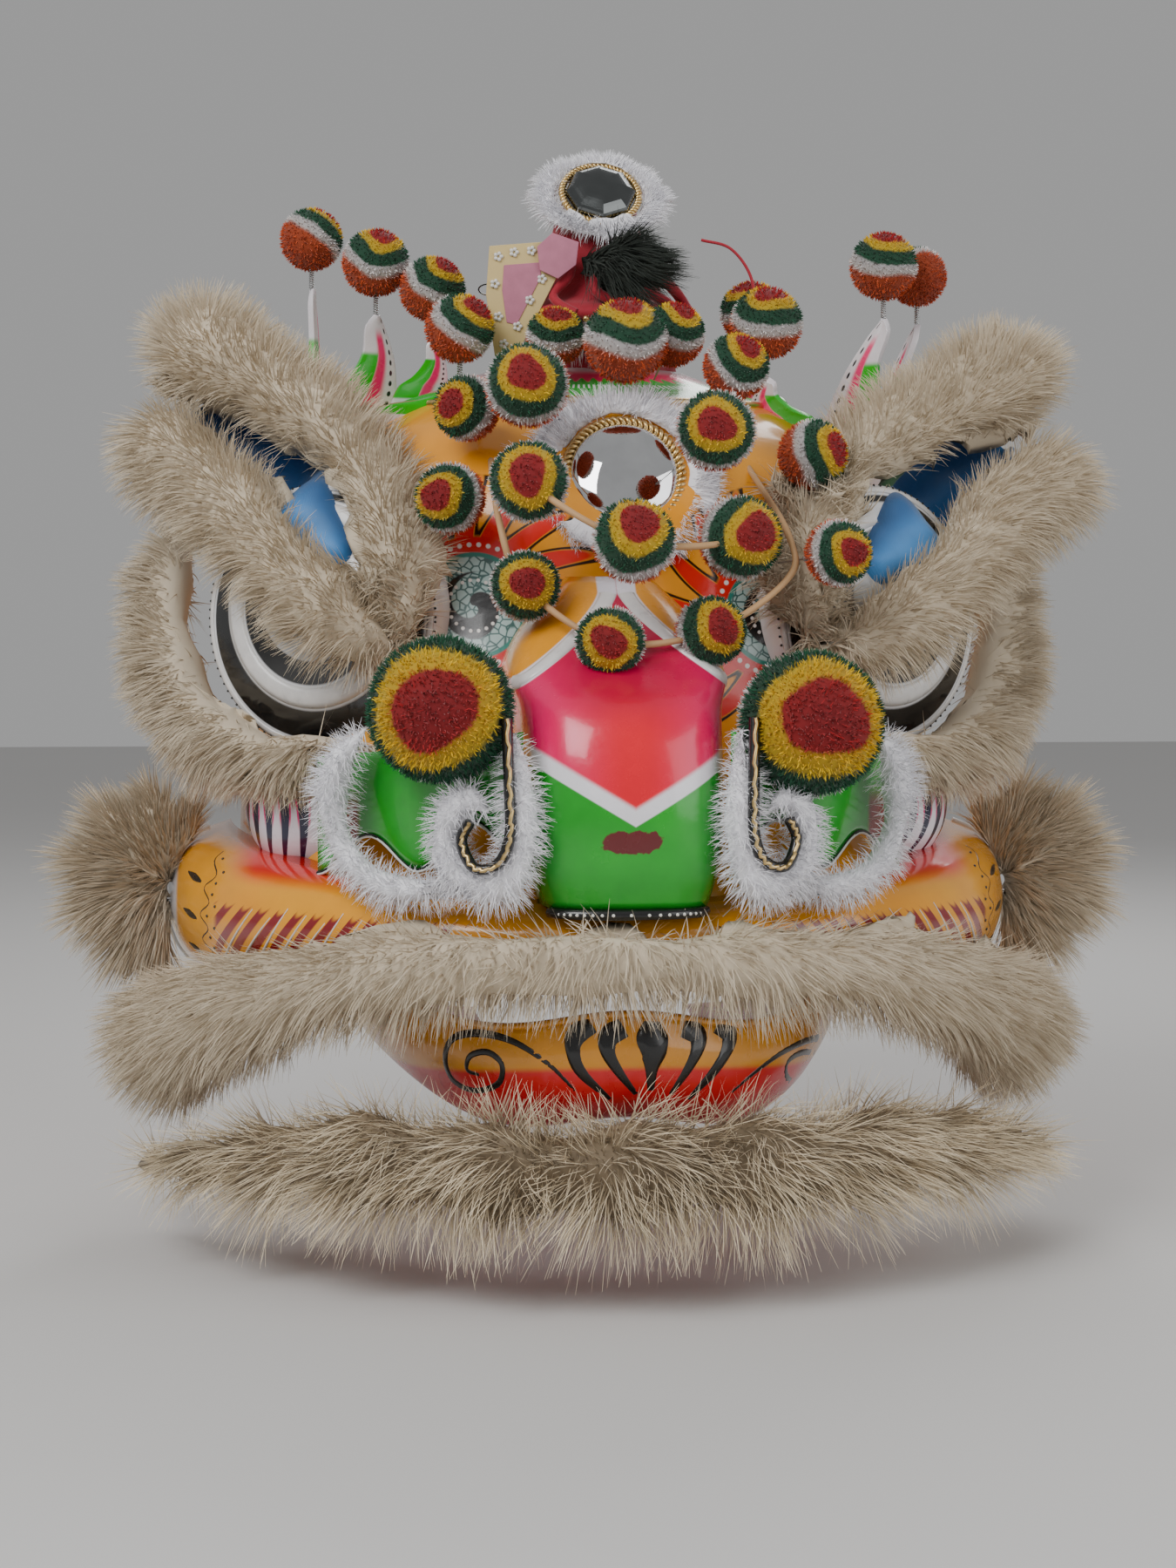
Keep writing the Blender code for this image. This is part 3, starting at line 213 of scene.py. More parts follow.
BIG_POMPOMS = [
    # side, up, cap
    (-1, 0.410, (-0.14, -0.98, 0.06)),
    (1, 0.388, (0.10, -0.98, 0.14)),
]
OUTER_HOOP = [
    # across, forward, up, size, cap
    (-0.30, 0.86, 0.690, 0, None),
    (-0.236, 0.90, 0.590, 0.94, (0.05, -0.97, 0.10)),
    (-0.032, 1.03, 0.508, 0.92, (-0.12, -0.99, 0.00)),
    (0.232, 0.97, 0.522, 0.93, (0.28, -0.93, 0.18)),
    (0.440, 0.91, 0.600, 0, None),
    (0.455, 0.86, 0.665, 0, None),
]
INNER_HOOP = [
    # across, forward, up, size, cap
    (-0.228, 0.93, 0.746, 1.06, (-0.10, -0.97, 0.16)),
    (0.028, 1.03, 0.656, 1.09, (0.06, -0.84, 0.50)),
    (0.320, 0.90, 0.663, 1.12, (0.36, -0.90, 0.12)),
]
FINS = {
    # pompom: across, forward, up, width, turn
    1: (-0.80, -0.20, 0.78, 0.90, 78),
    2: (-0.70, -0.07, 0.80, 1.20, 25),
    3: (-0.47, 0.00, 0.86, 0.70, 20),
    4: (-0.46, 0.24, 0.80, 1.60, 12),
    15: (0.54, 0.25, 0.80, 0.90, -35),
    16: (0.52, 0.00, 0.84, 0.80, -25),
    17: (0.84, -0.07, 0.76, 1.20, -35),
    18: (0.94, -0.20, 0.72, 0.90, -70),
}
FIN_HOLLOW_EDGE = [
    # up, along the width
    (-0.10, -0.50),
    (0.34, -0.42),
    (0.48, -0.20),
    (0.72, -0.04),
    (0.93, -0.10),
    (1.00, -0.02),
]
FIN_ROUND_EDGE = [
    # up, along the width
    (-0.10, 0.50),
    (0.35, 0.56),
    (0.65, 0.42),
    (0.90, 0.16),
    (1.00, 0.02),
]
TAG_OUTLINE = [
    # across, up
    (-0.30, 0.45),
    (0.50, 0.52),
    (0.52, 0.20),
    (-0.02, -0.85),
    (-0.24, -0.80),
    (-0.34, -0.10),
]
NOSTRIL_PIPING = [
    # across, forward, up: round the inner side of the white curl
    (0.305, 1.21, 0.400),
    (0.300, 1.235, 0.300),
    (0.300, 1.245, 0.232),
    (0.330, 1.235, 0.192),
    (0.385, 1.215, 0.186),
    (0.415, 1.19, 0.222),
    (0.395, 1.20, 0.252),
]

# The camera that took the photograph, and the photograph's own frame
CAMERA_PLACE = (-0.173, -2.038, 0.2475)
CAMERA_AIM = (-0.008, -0.15, 0.115)
CAMERA_LENS = 63.33
CAMERA_DISTANCE = 1.9
PHOTO_MIDDLE = (675, 900)
PHOTO_SCALE = 0.0006

# Lines painted on the jaw, as points of the photograph with the brush's half width there
JAW_STROKES = [
    # px, py, half width in px
    [(748, 1172, 10), (748, 1190, 21), (750, 1208, 17), (748, 1228, 8), (747, 1252, 4)],
    [(716, 1180, 13), (700, 1190, 14), (698, 1208, 9), (710, 1230, 6), (730, 1256, 3)],
    [(784, 1180, 13), (800, 1188, 14), (800, 1206, 9), (788, 1230, 6), (770, 1256, 3)],
    [(680, 1176, 12), (662, 1188, 14), (658, 1208, 9), (668, 1232, 7), (700, 1262, 3)],
    [(822, 1176, 12), (836, 1186, 14), (834, 1206, 9), (818, 1232, 7), (790, 1262, 3)],
    [(660, 1252, 2), (630, 1222, 3), (590, 1196, 4), (550, 1186, 5), (520, 1192, 5),
     (511, 1215, 5), (520, 1240, 5), (545, 1252, 4), (572, 1244, 4), (576, 1222, 4),
     (560, 1208, 4), (540, 1212, 4), (536, 1228, 3), (550, 1234, 2)],
    [(840, 1254, 2), (868, 1230, 3), (902, 1206, 4), (936, 1192, 5), (962, 1196, 5),
     (970, 1216, 5), (958, 1238, 5), (932, 1246, 4), (906, 1240, 4), (904, 1220, 4),
     (922, 1208, 4), (942, 1212, 4), (942, 1228, 3), (928, 1230, 2)],
]

# Seeds, so that each run gives the same strands
STRAND_SEED = 11
CAP_SEED = 5


def clamp(value, low=0.0, high=1.0):
    """The value, kept between two limits."""
    return max(low, min(high, value))


def at(across, forward, up):
    """A place given as shares of the head's half width, front reach and crown height."""
    return Vector((across * HALF_WIDTH, -forward * FRONT_REACH, up * CROWN_HEIGHT))


def between(rows, key):
    """Row of a table at a value of its first column, on a smooth curve through its rows."""
    keys = [row[0] for row in rows]
    if key <= keys[0]:
        return list(rows[0][1:])
    if key >= keys[-1]:
        return list(rows[-1][1:])
    i = next(i for i in range(len(rows) - 1) if key <= keys[i + 1])
    step = keys[i + 1] - keys[i]
    t = (key - keys[i]) / step

    def slope(j, column):
        low, high = max(j - 1, 0), min(j + 1, len(rows) - 1)
        return (rows[high][column] - rows[low][column]) / (keys[high] - keys[low])

    result = []
    for column in range(1, len(rows[0])):
        a, b = rows[i][column], rows[i + 1][column]
        result.append(
            (2 * t ** 3 - 3 * t ** 2 + 1) * a
            + (t ** 3 - 2 * t ** 2 + t) * step * slope(i, column)
            + (-2 * t ** 3 + 3 * t ** 2) * b
            + (t ** 3 - t ** 2) * step * slope(i + 1, column)
        )
    return result


def smooth_path(points, count):
    """Points spread evenly in parameter on a smooth curve through the given rows."""
    rows = [list(p) for p in points]
    rows = [[2 * a - b for a, b in zip(rows[0], rows[1])]] + rows
    rows = rows + [[2 * a - b for a, b in zip(rows[-1], rows[-2])]]
    spans = len(rows) - 3
    path = []
    for i in range(count):
        place = i / (count - 1) * spans
        span = min(int(place), spans - 1)
        t = place - span
        path.append([
            0.5 * (2 * b + (c - a) * t + (2 * a - 5 * b + 4 * c - d) * t * t
                   + (3 * b - a - 3 * c + d) * t ** 3)
            for a, b, c, d in zip(*rows[span : span + 4])
        ])
    return path


def basis(normal, up=Vector((0, 0, 1))):
    """Two directions square to a normal, the second as near to up as can be."""
    normal = normal.normalized()
    right = up.cross(normal).normalized()
    return right, normal.cross(right).normalized(), normal


def sight(px, py):
    """Start and direction of the camera's ray through a point of the photograph."""
    start = Vector(CAMERA_PLACE)
    ahead = (Vector(CAMERA_AIM) - start).normalized()
    right = ahead.cross(Vector((0, 0, 1))).normalized()
    up = right.cross(ahead)
    aim = ahead * CAMERA_DISTANCE
    aim += right * ((px - PHOTO_MIDDLE[0]) * PHOTO_SCALE)
    aim += up * ((PHOTO_MIDDLE[1] - py) * PHOTO_SCALE)
    return start, aim.normalized()


class Nodes:
    """Adds nodes to one tree and joins them up."""

    def __init__(self, tree):
        self.tree = tree

    def add(self, kind, inputs=None, **settings):
        """A new node with its settings, and its inputs set or linked."""
        node = self.tree.nodes.new(kind)
        for key, value in settings.items():
            setattr(node, key, value)
        for key, value in (inputs or {}).items():
            self.feed(node, key, value)
        return node

    def feed(self, node, key, value):
        """Sets or links one input, found by its number or its name."""
        if isinstance(key, int):
            socket = node.inputs[key]
        else:
            socket = next(s for s in node.inputs if s.name == key and s.enabled)
        if isinstance(value, bpy.types.NodeSocket):
            self.tree.links.new(value, socket)
        elif socket.type == "RGBA" and len(value) == 3:
            socket.default_value = (*value, 1.0)
        else:
            socket.default_value = value

    def math(self, operation, *values):
        """One sum on numbers."""
        return self.add("ShaderNodeMath", dict(enumerate(values)), operation=operation).outputs[0]

    def vector(self, operation, *values):
        """One sum on vectors."""
        node = self.add("ShaderNodeVectorMath", dict(enumerate(values)), operation=operation)
        return node.outputs[1 if operation in ("LENGTH", "DISTANCE", "DOT_PRODUCT") else 0]

    def scaled(self, vector, factor):
        """A vector times a number."""
        node = self.add("ShaderNodeVectorMath", {0: vector, "Scale": factor}, operation="SCALE")
        return node.outputs[0]

    def mix(self, factor, a, b, blend="MIX"):
        """One colour over another."""
        node = self.add("ShaderNodeMix", {}, data_type="RGBA", blend_type=blend)
        for key, value in ((0, factor), (6, a), (7, b)):
            self.feed(node, key, value)
        return node.outputs[2]

    def above(self, value, edge, soft):
        """1 where a value is over an edge, 0 where it is under, soft between."""
        node = self.add("ShaderNodeMapRange", interpolation_type="SMOOTHSTEP")
        self.feed(node, 0, self.math("SUBTRACT", value, edge))
        for key, number in ((1, -soft), (2, soft), (3, 0.0), (4, 1.0)):
            self.feed(node, key, number)
        return node.outputs[0]

    def band(self, value, low, high, soft):
        """1 where a value is between two edges."""
        over = self.above(value, low, soft)
        return self.math("SUBTRACT", over, self.above(value, high, soft))

    def noise(self, place, scale, detail=3.0, output=0):
        """Noise at a place: its value, or its colour as output 1."""
        node = self.add("ShaderNodeTexNoise", {"Vector": place, "Scale": scale, "Detail": detail})
        return node.outputs[output]

    def attribute(self, name, kind="FLOAT"):
        """A named attribute of the piece, in a geometry tree."""
        node = self.add("GeometryNodeInputNamedAttribute", {"Name": name}, data_type=kind)
        return next(s for s in node.outputs if s.name == "Attribute" and s.enabled)

    def axes(self, place):
        """The three numbers of a vector."""
        return self.add("ShaderNodeSeparateXYZ", {0: place}).outputs[:]

    def ramp(self, value, stops):
        """Colours along a value."""
        node = self.add("ShaderNodeValToRGB", {0: value})
        ramp = node.color_ramp
        while len(ramp.elements) < len(stops):
            ramp.elements.new(1.0)
        for element, (position, colour) in zip(ramp.elements, stops):
            element.position = position
            element.color = (*colour, 1.0)
        return node.outputs[0]


def group_tree(name, kind, inputs, outputs):
    """A node group with its sockets, and helpers for its nodes."""
    tree = bpy.data.node_groups.new(name, kind)
    for label, socket_type, default in inputs:
        socket = tree.interface.new_socket(label, in_out="INPUT", socket_type=socket_type)
        if default is not None:
            socket.default_value = default
    for label, socket_type in outputs:
        tree.interface.new_socket(label, in_out="OUTPUT", socket_type=socket_type)
    nodes = Nodes(tree)
    return tree, nodes, nodes.add("NodeGroupInput"), nodes.add("NodeGroupOutput")


def shared_effect(name, inputs, outputs, fill):
    """A shader group, made the first time that it is asked for."""
    if name not in bpy.data.node_groups:
        _, nodes, start, end = group_tree(name, "ShaderNodeTree", inputs, outputs)
        fill(nodes, start, end)
    return bpy.data.node_groups[name]


def papier_grain():
    """Brushed layers of paste and paper under lacquer: a tint and a height."""

    def fill(nodes, start, end):
        place = start.outputs["Place"]
        creases = nodes.noise(place, 34.0, 6.0)
        fine = nodes.noise(place, 260.0, 2.0)
        tint = nodes.mix(creases, (0.80, 0.80, 0.80), (1.08, 1.08, 1.08))
        height = nodes.math("MULTIPLY_ADD", fine, 0.15, creases)
        nodes.feed(end, "Tint", tint)
        nodes.feed(end, "Height", height)

    sockets = [("Place", "NodeSocketVector", None)]
    results = [("Tint", "NodeSocketColor"), ("Height", "NodeSocketFloat")]
    return shared_effect("papier_grain", sockets, results, fill)


def cloth_weave():
    """Threads of a plain weave: a tint and a height. The tint holds worn patches and painted shade where the threads
    sink.
    """

    def fill(nodes, start, end):
        x, y, z = nodes.axes(start.outputs["Place"])
        warp = nodes.math("SINE", nodes.math("MULTIPLY", nodes.math("ADD", x, y), 5200.0))
        weft = nodes.math("SINE", nodes.math("MULTIPLY", z, 5200.0))
        height = nodes.math("MULTIPLY_ADD", nodes.math("MULTIPLY", warp, weft), 0.5, 0.5)
        worn = nodes.noise(start.outputs["Place"], 30.0, 4.0)
        # Worn patches, and painted shade that darkens the cloth where the threads sink
        tone = nodes.math("MULTIPLY_ADD", worn, 0.6, nodes.math("MULTIPLY", height, 0.25))
        nodes.feed(end, "Tint", nodes.mix(tone, (0.60, 0.60, 0.60), (1.15, 1.15, 1.15)))
        nodes.feed(end, "Height", height)

    sockets = [("Place", "NodeSocketVector", None)]
    results = [("Tint", "NodeSocketColor"), ("Height", "NodeSocketFloat")]
    return shared_effect("cloth_weave", sockets, results, fill)


def fur_tone():
    """Colour of a strand from its root to its tip, with each strand a little different; the darker root is painted
    shade among the strands.
    """

    def fill(nodes, start, end):
        along, tone = start.outputs["Along"], start.outputs["Tone"]
        # Painted shade: the strand darkens towards its root, where the strands shade each other
        eased = nodes.math("POWER", along, 0.7)
        colour = nodes.mix(eased, start.outputs["Root"], start.outputs["Tip"])
        patch = nodes.noise(start.outputs["Place"], 22.0, 2.0)
        light = nodes.math("MULTIPLY_ADD", tone, 0.42, nodes.math("MULTIPLY_ADD", patch, 0.5, 0.52))
        grey = nodes.add("ShaderNodeCombineXYZ", {0: light, 1: light, 2: light}).outputs[0]
        nodes.feed(end, "Colour", nodes.mix(1.0, colour, grey, "MULTIPLY"))

    sockets = [
        ("Place", "NodeSocketVector", None),
        ("Along", "NodeSocketFloat", 0.0),
        ("Tone", "NodeSocketFloat", 0.5),
        ("Root", "NodeSocketColor", None),
        ("Tip", "NodeSocketColor", None),
    ]
    return shared_effect("fur_tone", sockets, [("Colour", "NodeSocketColor")], fill)


def blank(name):
    """A material with its shader, its nodes and its object coordinates."""
    material = bpy.data.materials.new(name)
    material.use_nodes = True
    nodes = Nodes(material.node_tree)
    place = nodes.add("ShaderNodeTexCoord").outputs["Object"]
    return material, material.node_tree.nodes["Principled BSDF"], nodes, place


def own(nodes, name, output="Fac"):
    """A named attribute of the piece, in a material."""
    return nodes.add("ShaderNodeAttribute", attribute_name=name).outputs[output]


def bump(nodes, shader, height, strength, distance):
    """Relief from a height."""
    node = nodes.add("ShaderNodeBump", {"Height": height, "Strength": strength, "Distance": distance})
    nodes.feed(shader, "Normal", node.outputs[0])


def lacquer(name, colour_of, roughness=0.20, coat=0.6, relief=None):
    """Painted papier under lacquer. colour_of gives the paint's colour at a place."""
    material, shader, nodes, place = blank(name)
    grain = nodes.add("ShaderNodeGroup", node_tree=papier_grain())
    nodes.feed(grain, "Place", place)
    colour = colour_of(nodes, place)
    height = grain.outputs["Height"]
    if isinstance(colour, tuple) and len(colour) == 2:
        colour, raised = colour
        height = nodes.math("MULTIPLY_ADD", raised, 1.2, height)
    nodes.feed(shader, "Base Color", nodes.mix(1.0, colour, grain.outputs["Tint"], "MULTIPLY"))
    spread = nodes.math("MULTIPLY_ADD", grain.outputs["Height"], 0.16, roughness - 0.05)
    nodes.feed(shader, "Roughness", spread)
    shader.inputs["Coat Weight"].default_value = coat
    shader.inputs["Coat Roughness"].default_value = 0.08
    bump(nodes, shader, height, 0.35, 0.0016)
    return material


def cloth(name, colour, roughness=0.75):
    """Woven cloth in one dye, with its threads, its worn patches and painted shade between the threads."""
    material, shader, nodes, place = blank(name)
    weave = nodes.add("ShaderNodeGroup", node_tree=cloth_weave())
    nodes.feed(weave, "Place", place)
    base = colour(nodes, place) if callable(colour) else (*colour, 1.0)
    nodes.feed(shader, "Base Color", nodes.mix(1.0, base, weave.outputs["Tint"], "MULTIPLY"))
    shader.inputs["Roughness"].default_value = roughness
    shader.inputs["Sheen Weight"].default_value = 0.25
    bump(nodes, shader, weave.outputs["Height"], 0.25, 0.0004)
    return material


def fur(name, root, tip, flush=None, sheen=0.15):
    """Strands of fur with painted shade: darker at the root. flush adds a dye in a part of the piece."""
    material, shader, nodes, place = blank(name)
    tone = nodes.add("ShaderNodeGroup", node_tree=fur_tone())
    nodes.feed(tone, "Place", place)
    nodes.feed(tone, "Along", own(nodes, "along"))
    nodes.feed(tone, "Tone", own(nodes, "tone"))
    nodes.feed(tone, "Root", root)
    nodes.feed(tone, "Tip", tip)
    colour = tone.outputs[0]
    if flush:
        colour = flush(nodes, place, colour)
    nodes.feed(shader, "Base Color", colour)
    shader.inputs["Roughness"].default_value = 0.62
    shader.inputs["Sheen Weight"].default_value = sheen
    return material


def metal(name, colour, roughness, grain_scale=400.0):
    """Metal with fine scratches and dull patches."""
    material, shader, nodes, place = blank(name)
    worn = nodes.noise(place, grain_scale, 3.0)
    nodes.feed(shader, "Base Color", nodes.mix(worn, tuple(c * 0.75 for c in colour), colour))
    nodes.feed(shader, "Roughness", nodes.math("MULTIPLY_ADD", worn, roughness, roughness * 0.5))
    shader.inputs["Metallic"].default_value = 1.0
    bump(nodes, shader, worn, 0.08, 0.0003)
    return material


def plain_paint(name, colour, roughness=0.3, worn_scale=120.0):
    """A brushed line or a small painted thing: one colour with uneven cover."""
    material, shader, nodes, place = blank(name)
    worn = nodes.noise(place, worn_scale, 4.0)
    nodes.feed(shader, "Base Color", nodes.mix(worn, tuple(c * 0.7 for c in colour), colour))
    nodes.feed(shader, "Roughness", nodes.math("MULTIPLY_ADD", worn, 0.2, roughness - 0.1))
    shader.inputs["Coat Weight"].default_value = 0.3
    bump(nodes, shader, worn, 0.2, 0.0005)
    return material


# Paint of each papier piece


def rosette(nodes, place, centre, colour):
    """A scaled comma in a dotted red ring, with flames round it, over a colour."""
    x, _, z = nodes.axes(place)
    dx = nodes.math("SUBTRACT", x, centre[0])
    dz = nodes.math("SUBTRACT", z, centre[1])
    away = nodes.math("SQRT", nodes.math("ADD", nodes.math("MULTIPLY", dx, dx),
                                         nodes.math("MULTIPLY", dz, dz)))
    turn = nodes.math("ARCTAN2", dz, dx)
    swirl = nodes.math("MULTIPLY_ADD", away, 85.0, nodes.math("MULTIPLY", turn, 17.0))
    wave = nodes.math("SINE", swirl)
    thin = nodes.math("MULTIPLY_ADD", away, 42.0, -2.6)
    inside = nodes.above(0.088, away, 0.001)
    flame = nodes.math("MULTIPLY", nodes.above(wave, thin, 0.16), inside)
    line = nodes.math("MULTIPLY", nodes.band(nodes.math("SUBTRACT", wave, thin), -0.55, -0.12, 0.1), inside)
    line = nodes.math("MULTIPLY", line, nodes.above(away, 0.046, 0.002))
    colour = nodes.mix(flame, colour, (0.78, 0.02, 0.012))
    colour = nodes.mix(line, colour, (0.02, 0.008, 0.004))
    colour = nodes.mix(nodes.above(0.046, away, 0.001), colour, (0.72, 0.015, 0.012))
    colour = dots(nodes, away, turn, 0.0405, 40, 0.0016, colour, (0.9, 0.88, 0.86))
    colour = nodes.mix(nodes.above(0.0355, away, 0.0006), colour, (0.02, 0.24, 0.19))
    cells = nodes.add("ShaderNodeTexVoronoi", {"Vector": place, "Scale": 170.0},
                      feature="DISTANCE_TO_EDGE").outputs[0]
    scale = nodes.mix(nodes.above(cells, 0.08, 0.05), (0.05, 0.14, 0.13), (0.42, 0.60, 0.58))
    colour = nodes.mix(nodes.above(0.0325, away, 0.0006), colour, scale)
    comma = nodes.math("SINE", nodes.math("MULTIPLY_ADD", away, 210.0, turn))
    comma = nodes.math("MULTIPLY", nodes.above(comma, -0.1, 0.15), nodes.above(0.0225, away, 0.0008))
    colour = nodes.mix(comma, colour, (0.012, 0.012, 0.012))
    return dots(nodes, away, turn, 0.0170, 20, 0.0012, colour, (0.88, 0.86, 0.82))


def dots(nodes, away, turn, radius, count, size, colour, dot_colour):
    """A ring of dots over a colour."""
    share = nodes.math("FRACT", nodes.math("MULTIPLY", turn, count / (2 * math.pi)))
    across = nodes.math("MULTIPLY", nodes.math("SUBTRACT", share, 0.5), radius * 2 * math.pi / count)
    out = nodes.math("SUBTRACT", away, radius)
    gap = nodes.math("SQRT", nodes.math("ADD", nodes.math("MULTIPLY", across, across),
                                        nodes.math("MULTIPLY", out, out)))
    return nodes.mix(nodes.above(size, gap, size * 0.25), colour, dot_colour)


def shell_paint(nodes, place):
    """Forehead in orange with two rosettes, a green dotted band above, pink crown, waves behind."""
    x, y, z = nodes.axes(place)
    patch = nodes.noise(place, 9.0, 3.0)
    colour = nodes.mix(patch, (0.82, 0.27, 0.012), (0.92, 0.46, 0.03))
    wave = nodes.math("SINE", nodes.math("MULTIPLY_ADD", z, 150.0,
                                         nodes.math("MULTIPLY", nodes.math("SINE", nodes.math("MULTIPLY", x, 60.0)), 2.2)))
    behind = nodes.above(y, -0.03, 0.01)
    back_red = nodes.math("MULTIPLY", nodes.above(wave, 0.35, 0.15), behind)
    colour = nodes.mix(back_red, colour, (0.66, 0.02, 0.012))
    back_white = nodes.math("MULTIPLY", nodes.band(wave, 0.12, 0.36, 0.05), behind)
    colour = nodes.mix(back_white, colour, (0.82, 0.80, 0.76))
    colour = rosette(nodes, place, (-0.088, 0.238), colour)
    colour = rosette(nodes, place, (0.116, 0.232), colour)
    turn = nodes.math("ARCTAN2", y, x)
    colour = nodes.mix(nodes.above(z, 0.377, 0.0006), colour, (0.75, 0.34, 0.03))
    colour = nodes.mix(nodes.above(z, 0.383, 0.0006), colour, (0.01, 0.45, 0.03))
    share = nodes.math("FRACT", nodes.math("MULTIPLY", turn, 26.0))
    dot = nodes.math("MULTIPLY", nodes.band(share, 0.3, 0.7, 0.08), nodes.band(z, 0.3895, 0.3925, 0.0005))
    colour = nodes.mix(dot, colour, (0.9, 0.9, 0.88))
    petals = nodes.math("MULTIPLY_ADD", nodes.math("SINE", nodes.math("MULTIPLY", turn, 60.0)), 0.0016, 0.3965)
    colour = nodes.mix(nodes.above(z, petals, 0.0006), colour, (0.85, 0.03, 0.12))
    return nodes.mix(nodes.above(z, 0.4035, 0.003), colour, (0.85, 0.78, 0.78))


def cheek_paint(nodes, place):
    """Yellow cheeks with dark red strokes below, a red shade under the gills, white ends."""
    x, _, z = nodes.axes(place)
    wide = nodes.math("ABSOLUTE", x)
    patch = nodes.noise(place, 14.0, 3.0)
    colour = nodes.mix(patch, (0.82, 0.28, 0.004), (0.93, 0.44, 0.012))
    up = nodes.math("MULTIPLY_ADD", z, 18.5, 0.42)
    lean = nodes.math("MULTIPLY", nodes.math("MULTIPLY", up, up), 0.020)
    share = nodes.math("MULTIPLY", nodes.math("SUBTRACT", nodes.math("ADD", wide, lean), 0.115), 84.0)
    stroke = nodes.above(nodes.math("FRACT", share), 0.5, 0.05)
    upper = nodes.math("MULTIPLY_ADD", nodes.math("SINE", nodes.math("MULTIPLY", share, 6.28)), 0.003, 0.041)
    stroke = nodes.math("MULTIPLY", stroke, nodes.above(upper, z, 0.002))
    stroke = nodes.math("MULTIPLY", stroke, nodes.band(wide, 0.105, 0.262, 0.002))
    colour = nodes.mix(stroke, colour, (0.26, 0.008, 0.012))
    gill = nodes.math("MULTIPLY", nodes.above(z, 0.058, 0.006), nodes.band(wide, 0.16, 0.245, 0.012))
    colour = nodes.mix(gill, colour, (0.82, 0.02, 0.01))
    return nodes.mix(nodes.above(wide, 0.292, 0.0015), colour, (0.80, 0.78, 0.82))


def nose_paint(nodes, place):
    """Pink over the bridge in a white border that ends in a V, green below with a red patch."""
    x, _, z = nodes.axes(place)
    wide = nodes.math("ABSOLUTE", nodes.math("SUBTRACT", x, 0.002))
    patch = nodes.noise(place, 26.0, 3.0)
    green = nodes.mix(patch, (0.004, 0.24, 0.010), (0.012, 0.44, 0.022))
    rough = nodes.math("MULTIPLY_ADD", nodes.noise(place, 160.0, 3.0), 0.008, -0.004)
    spot_x = nodes.math("DIVIDE", nodes.math("ADD", x, rough), 0.0185)
    spot_z = nodes.math("DIVIDE", nodes.math("ADD", nodes.math("SUBTRACT", z, 0.0945), rough), 0.0068)
    spot = nodes.math("ADD", nodes.math("POWER", nodes.math("ABSOLUTE", spot_x), 3.0),
                      nodes.math("MULTIPLY", spot_z, spot_z))
    green = nodes.mix(nodes.above(1.0, spot, 0.12), green, (0.13, 0.010, 0.012))
    glow = nodes.above(wide, 0.034, 0.03)
    pink = nodes.mix(glow, (0.80, 0.004, 0.022), (0.90, 0.004, 0.14))
    plum = nodes.math("MULTIPLY", nodes.above(z, 0.178, 0.022), nodes.above(0.045, wide, 0.035))
    pink = nodes.mix(nodes.math("MULTIPLY", plum, 0.75), pink, (0.40, 0.002, 0.060))
    rise = nodes.math("SUBTRACT", z, nodes.math("MULTIPLY_ADD", wide, 0.60, 0.1075))
    colour = nodes.mix(nodes.above(rise, -0.0035, 0.0007), green, (0.84, 0.82, 0.86))
    colour = nodes.mix(nodes.above(rise, 0.0075, 0.0022), colour, pink)
    share = nodes.math("SUBTRACT", 1.0, nodes.math("DIVIDE", nodes.math("SUBTRACT", z, 0.186), 0.061))
    share = nodes.math("POWER", nodes.math("MAXIMUM", share, 0.0), 1.35)
    outline = nodes.math("SUBTRACT", wide, nodes.math("MULTIPLY", share, 0.068))
    top = nodes.above(z, 0.182, 0.001)
    border = nodes.math("MULTIPLY", nodes.above(outline, 0.0, 0.0008), top)
    colour = nodes.mix(border, colour, (0.84, 0.80, 0.86))
    beyond = nodes.math("MULTIPLY", nodes.above(outline, 0.0125, 0.0008), top)
    return nodes.mix(beyond, colour, (0.88, 0.36, 0.02))


def nostril_paint(nodes, place):
    """Green wings with a dark edge and a brown-red patch at the outer end."""
    x, _, z = nodes.axes(place)
    wide = nodes.math("ABSOLUTE", x)
    patch = nodes.noise(place, 40.0, 3.0)
    colour = nodes.mix(patch, (0.004, 0.22, 0.008), (0.012, 0.46, 0.022))
    red = nodes.math("MULTIPLY", nodes.band(wide, 0.166, 0.181, 0.002), nodes.above(0.115, z, 0.008))
    return nodes.mix(red, colour, (0.20, 0.02, 0.015))


def eye_paint(nodes, _):
    """Black gloss with a white rim, a broad white crescent and a grey-white pupil."""
    spot = own(nodes, "paint", "Vector")
    away = nodes.vector("LENGTH", spot)
    colour = nodes.mix(nodes.noise(spot, 5.0, 5.0), (0.003, 0.003, 0.003), (0.018, 0.018, 0.018))
    ring = nodes.vector("DISTANCE", spot, (0.02, 0.08, 0.0))
    crescent = nodes.band(ring, 0.60, 0.79, 0.012)
    pupil = nodes.above(0.46, nodes.vector("DISTANCE", spot, (0.05, 0.12, 0.0)), 0.012)
    rim = nodes.above(away, 0.925, 0.008)
    white = nodes.math("MAXIMUM", nodes.math("MAXIMUM", crescent, rim), pupil)
    shade = nodes.mix(pupil, (0.80, 0.80, 0.81), (0.50, 0.50, 0.50))
    return nodes.mix(white, colour, shade), white


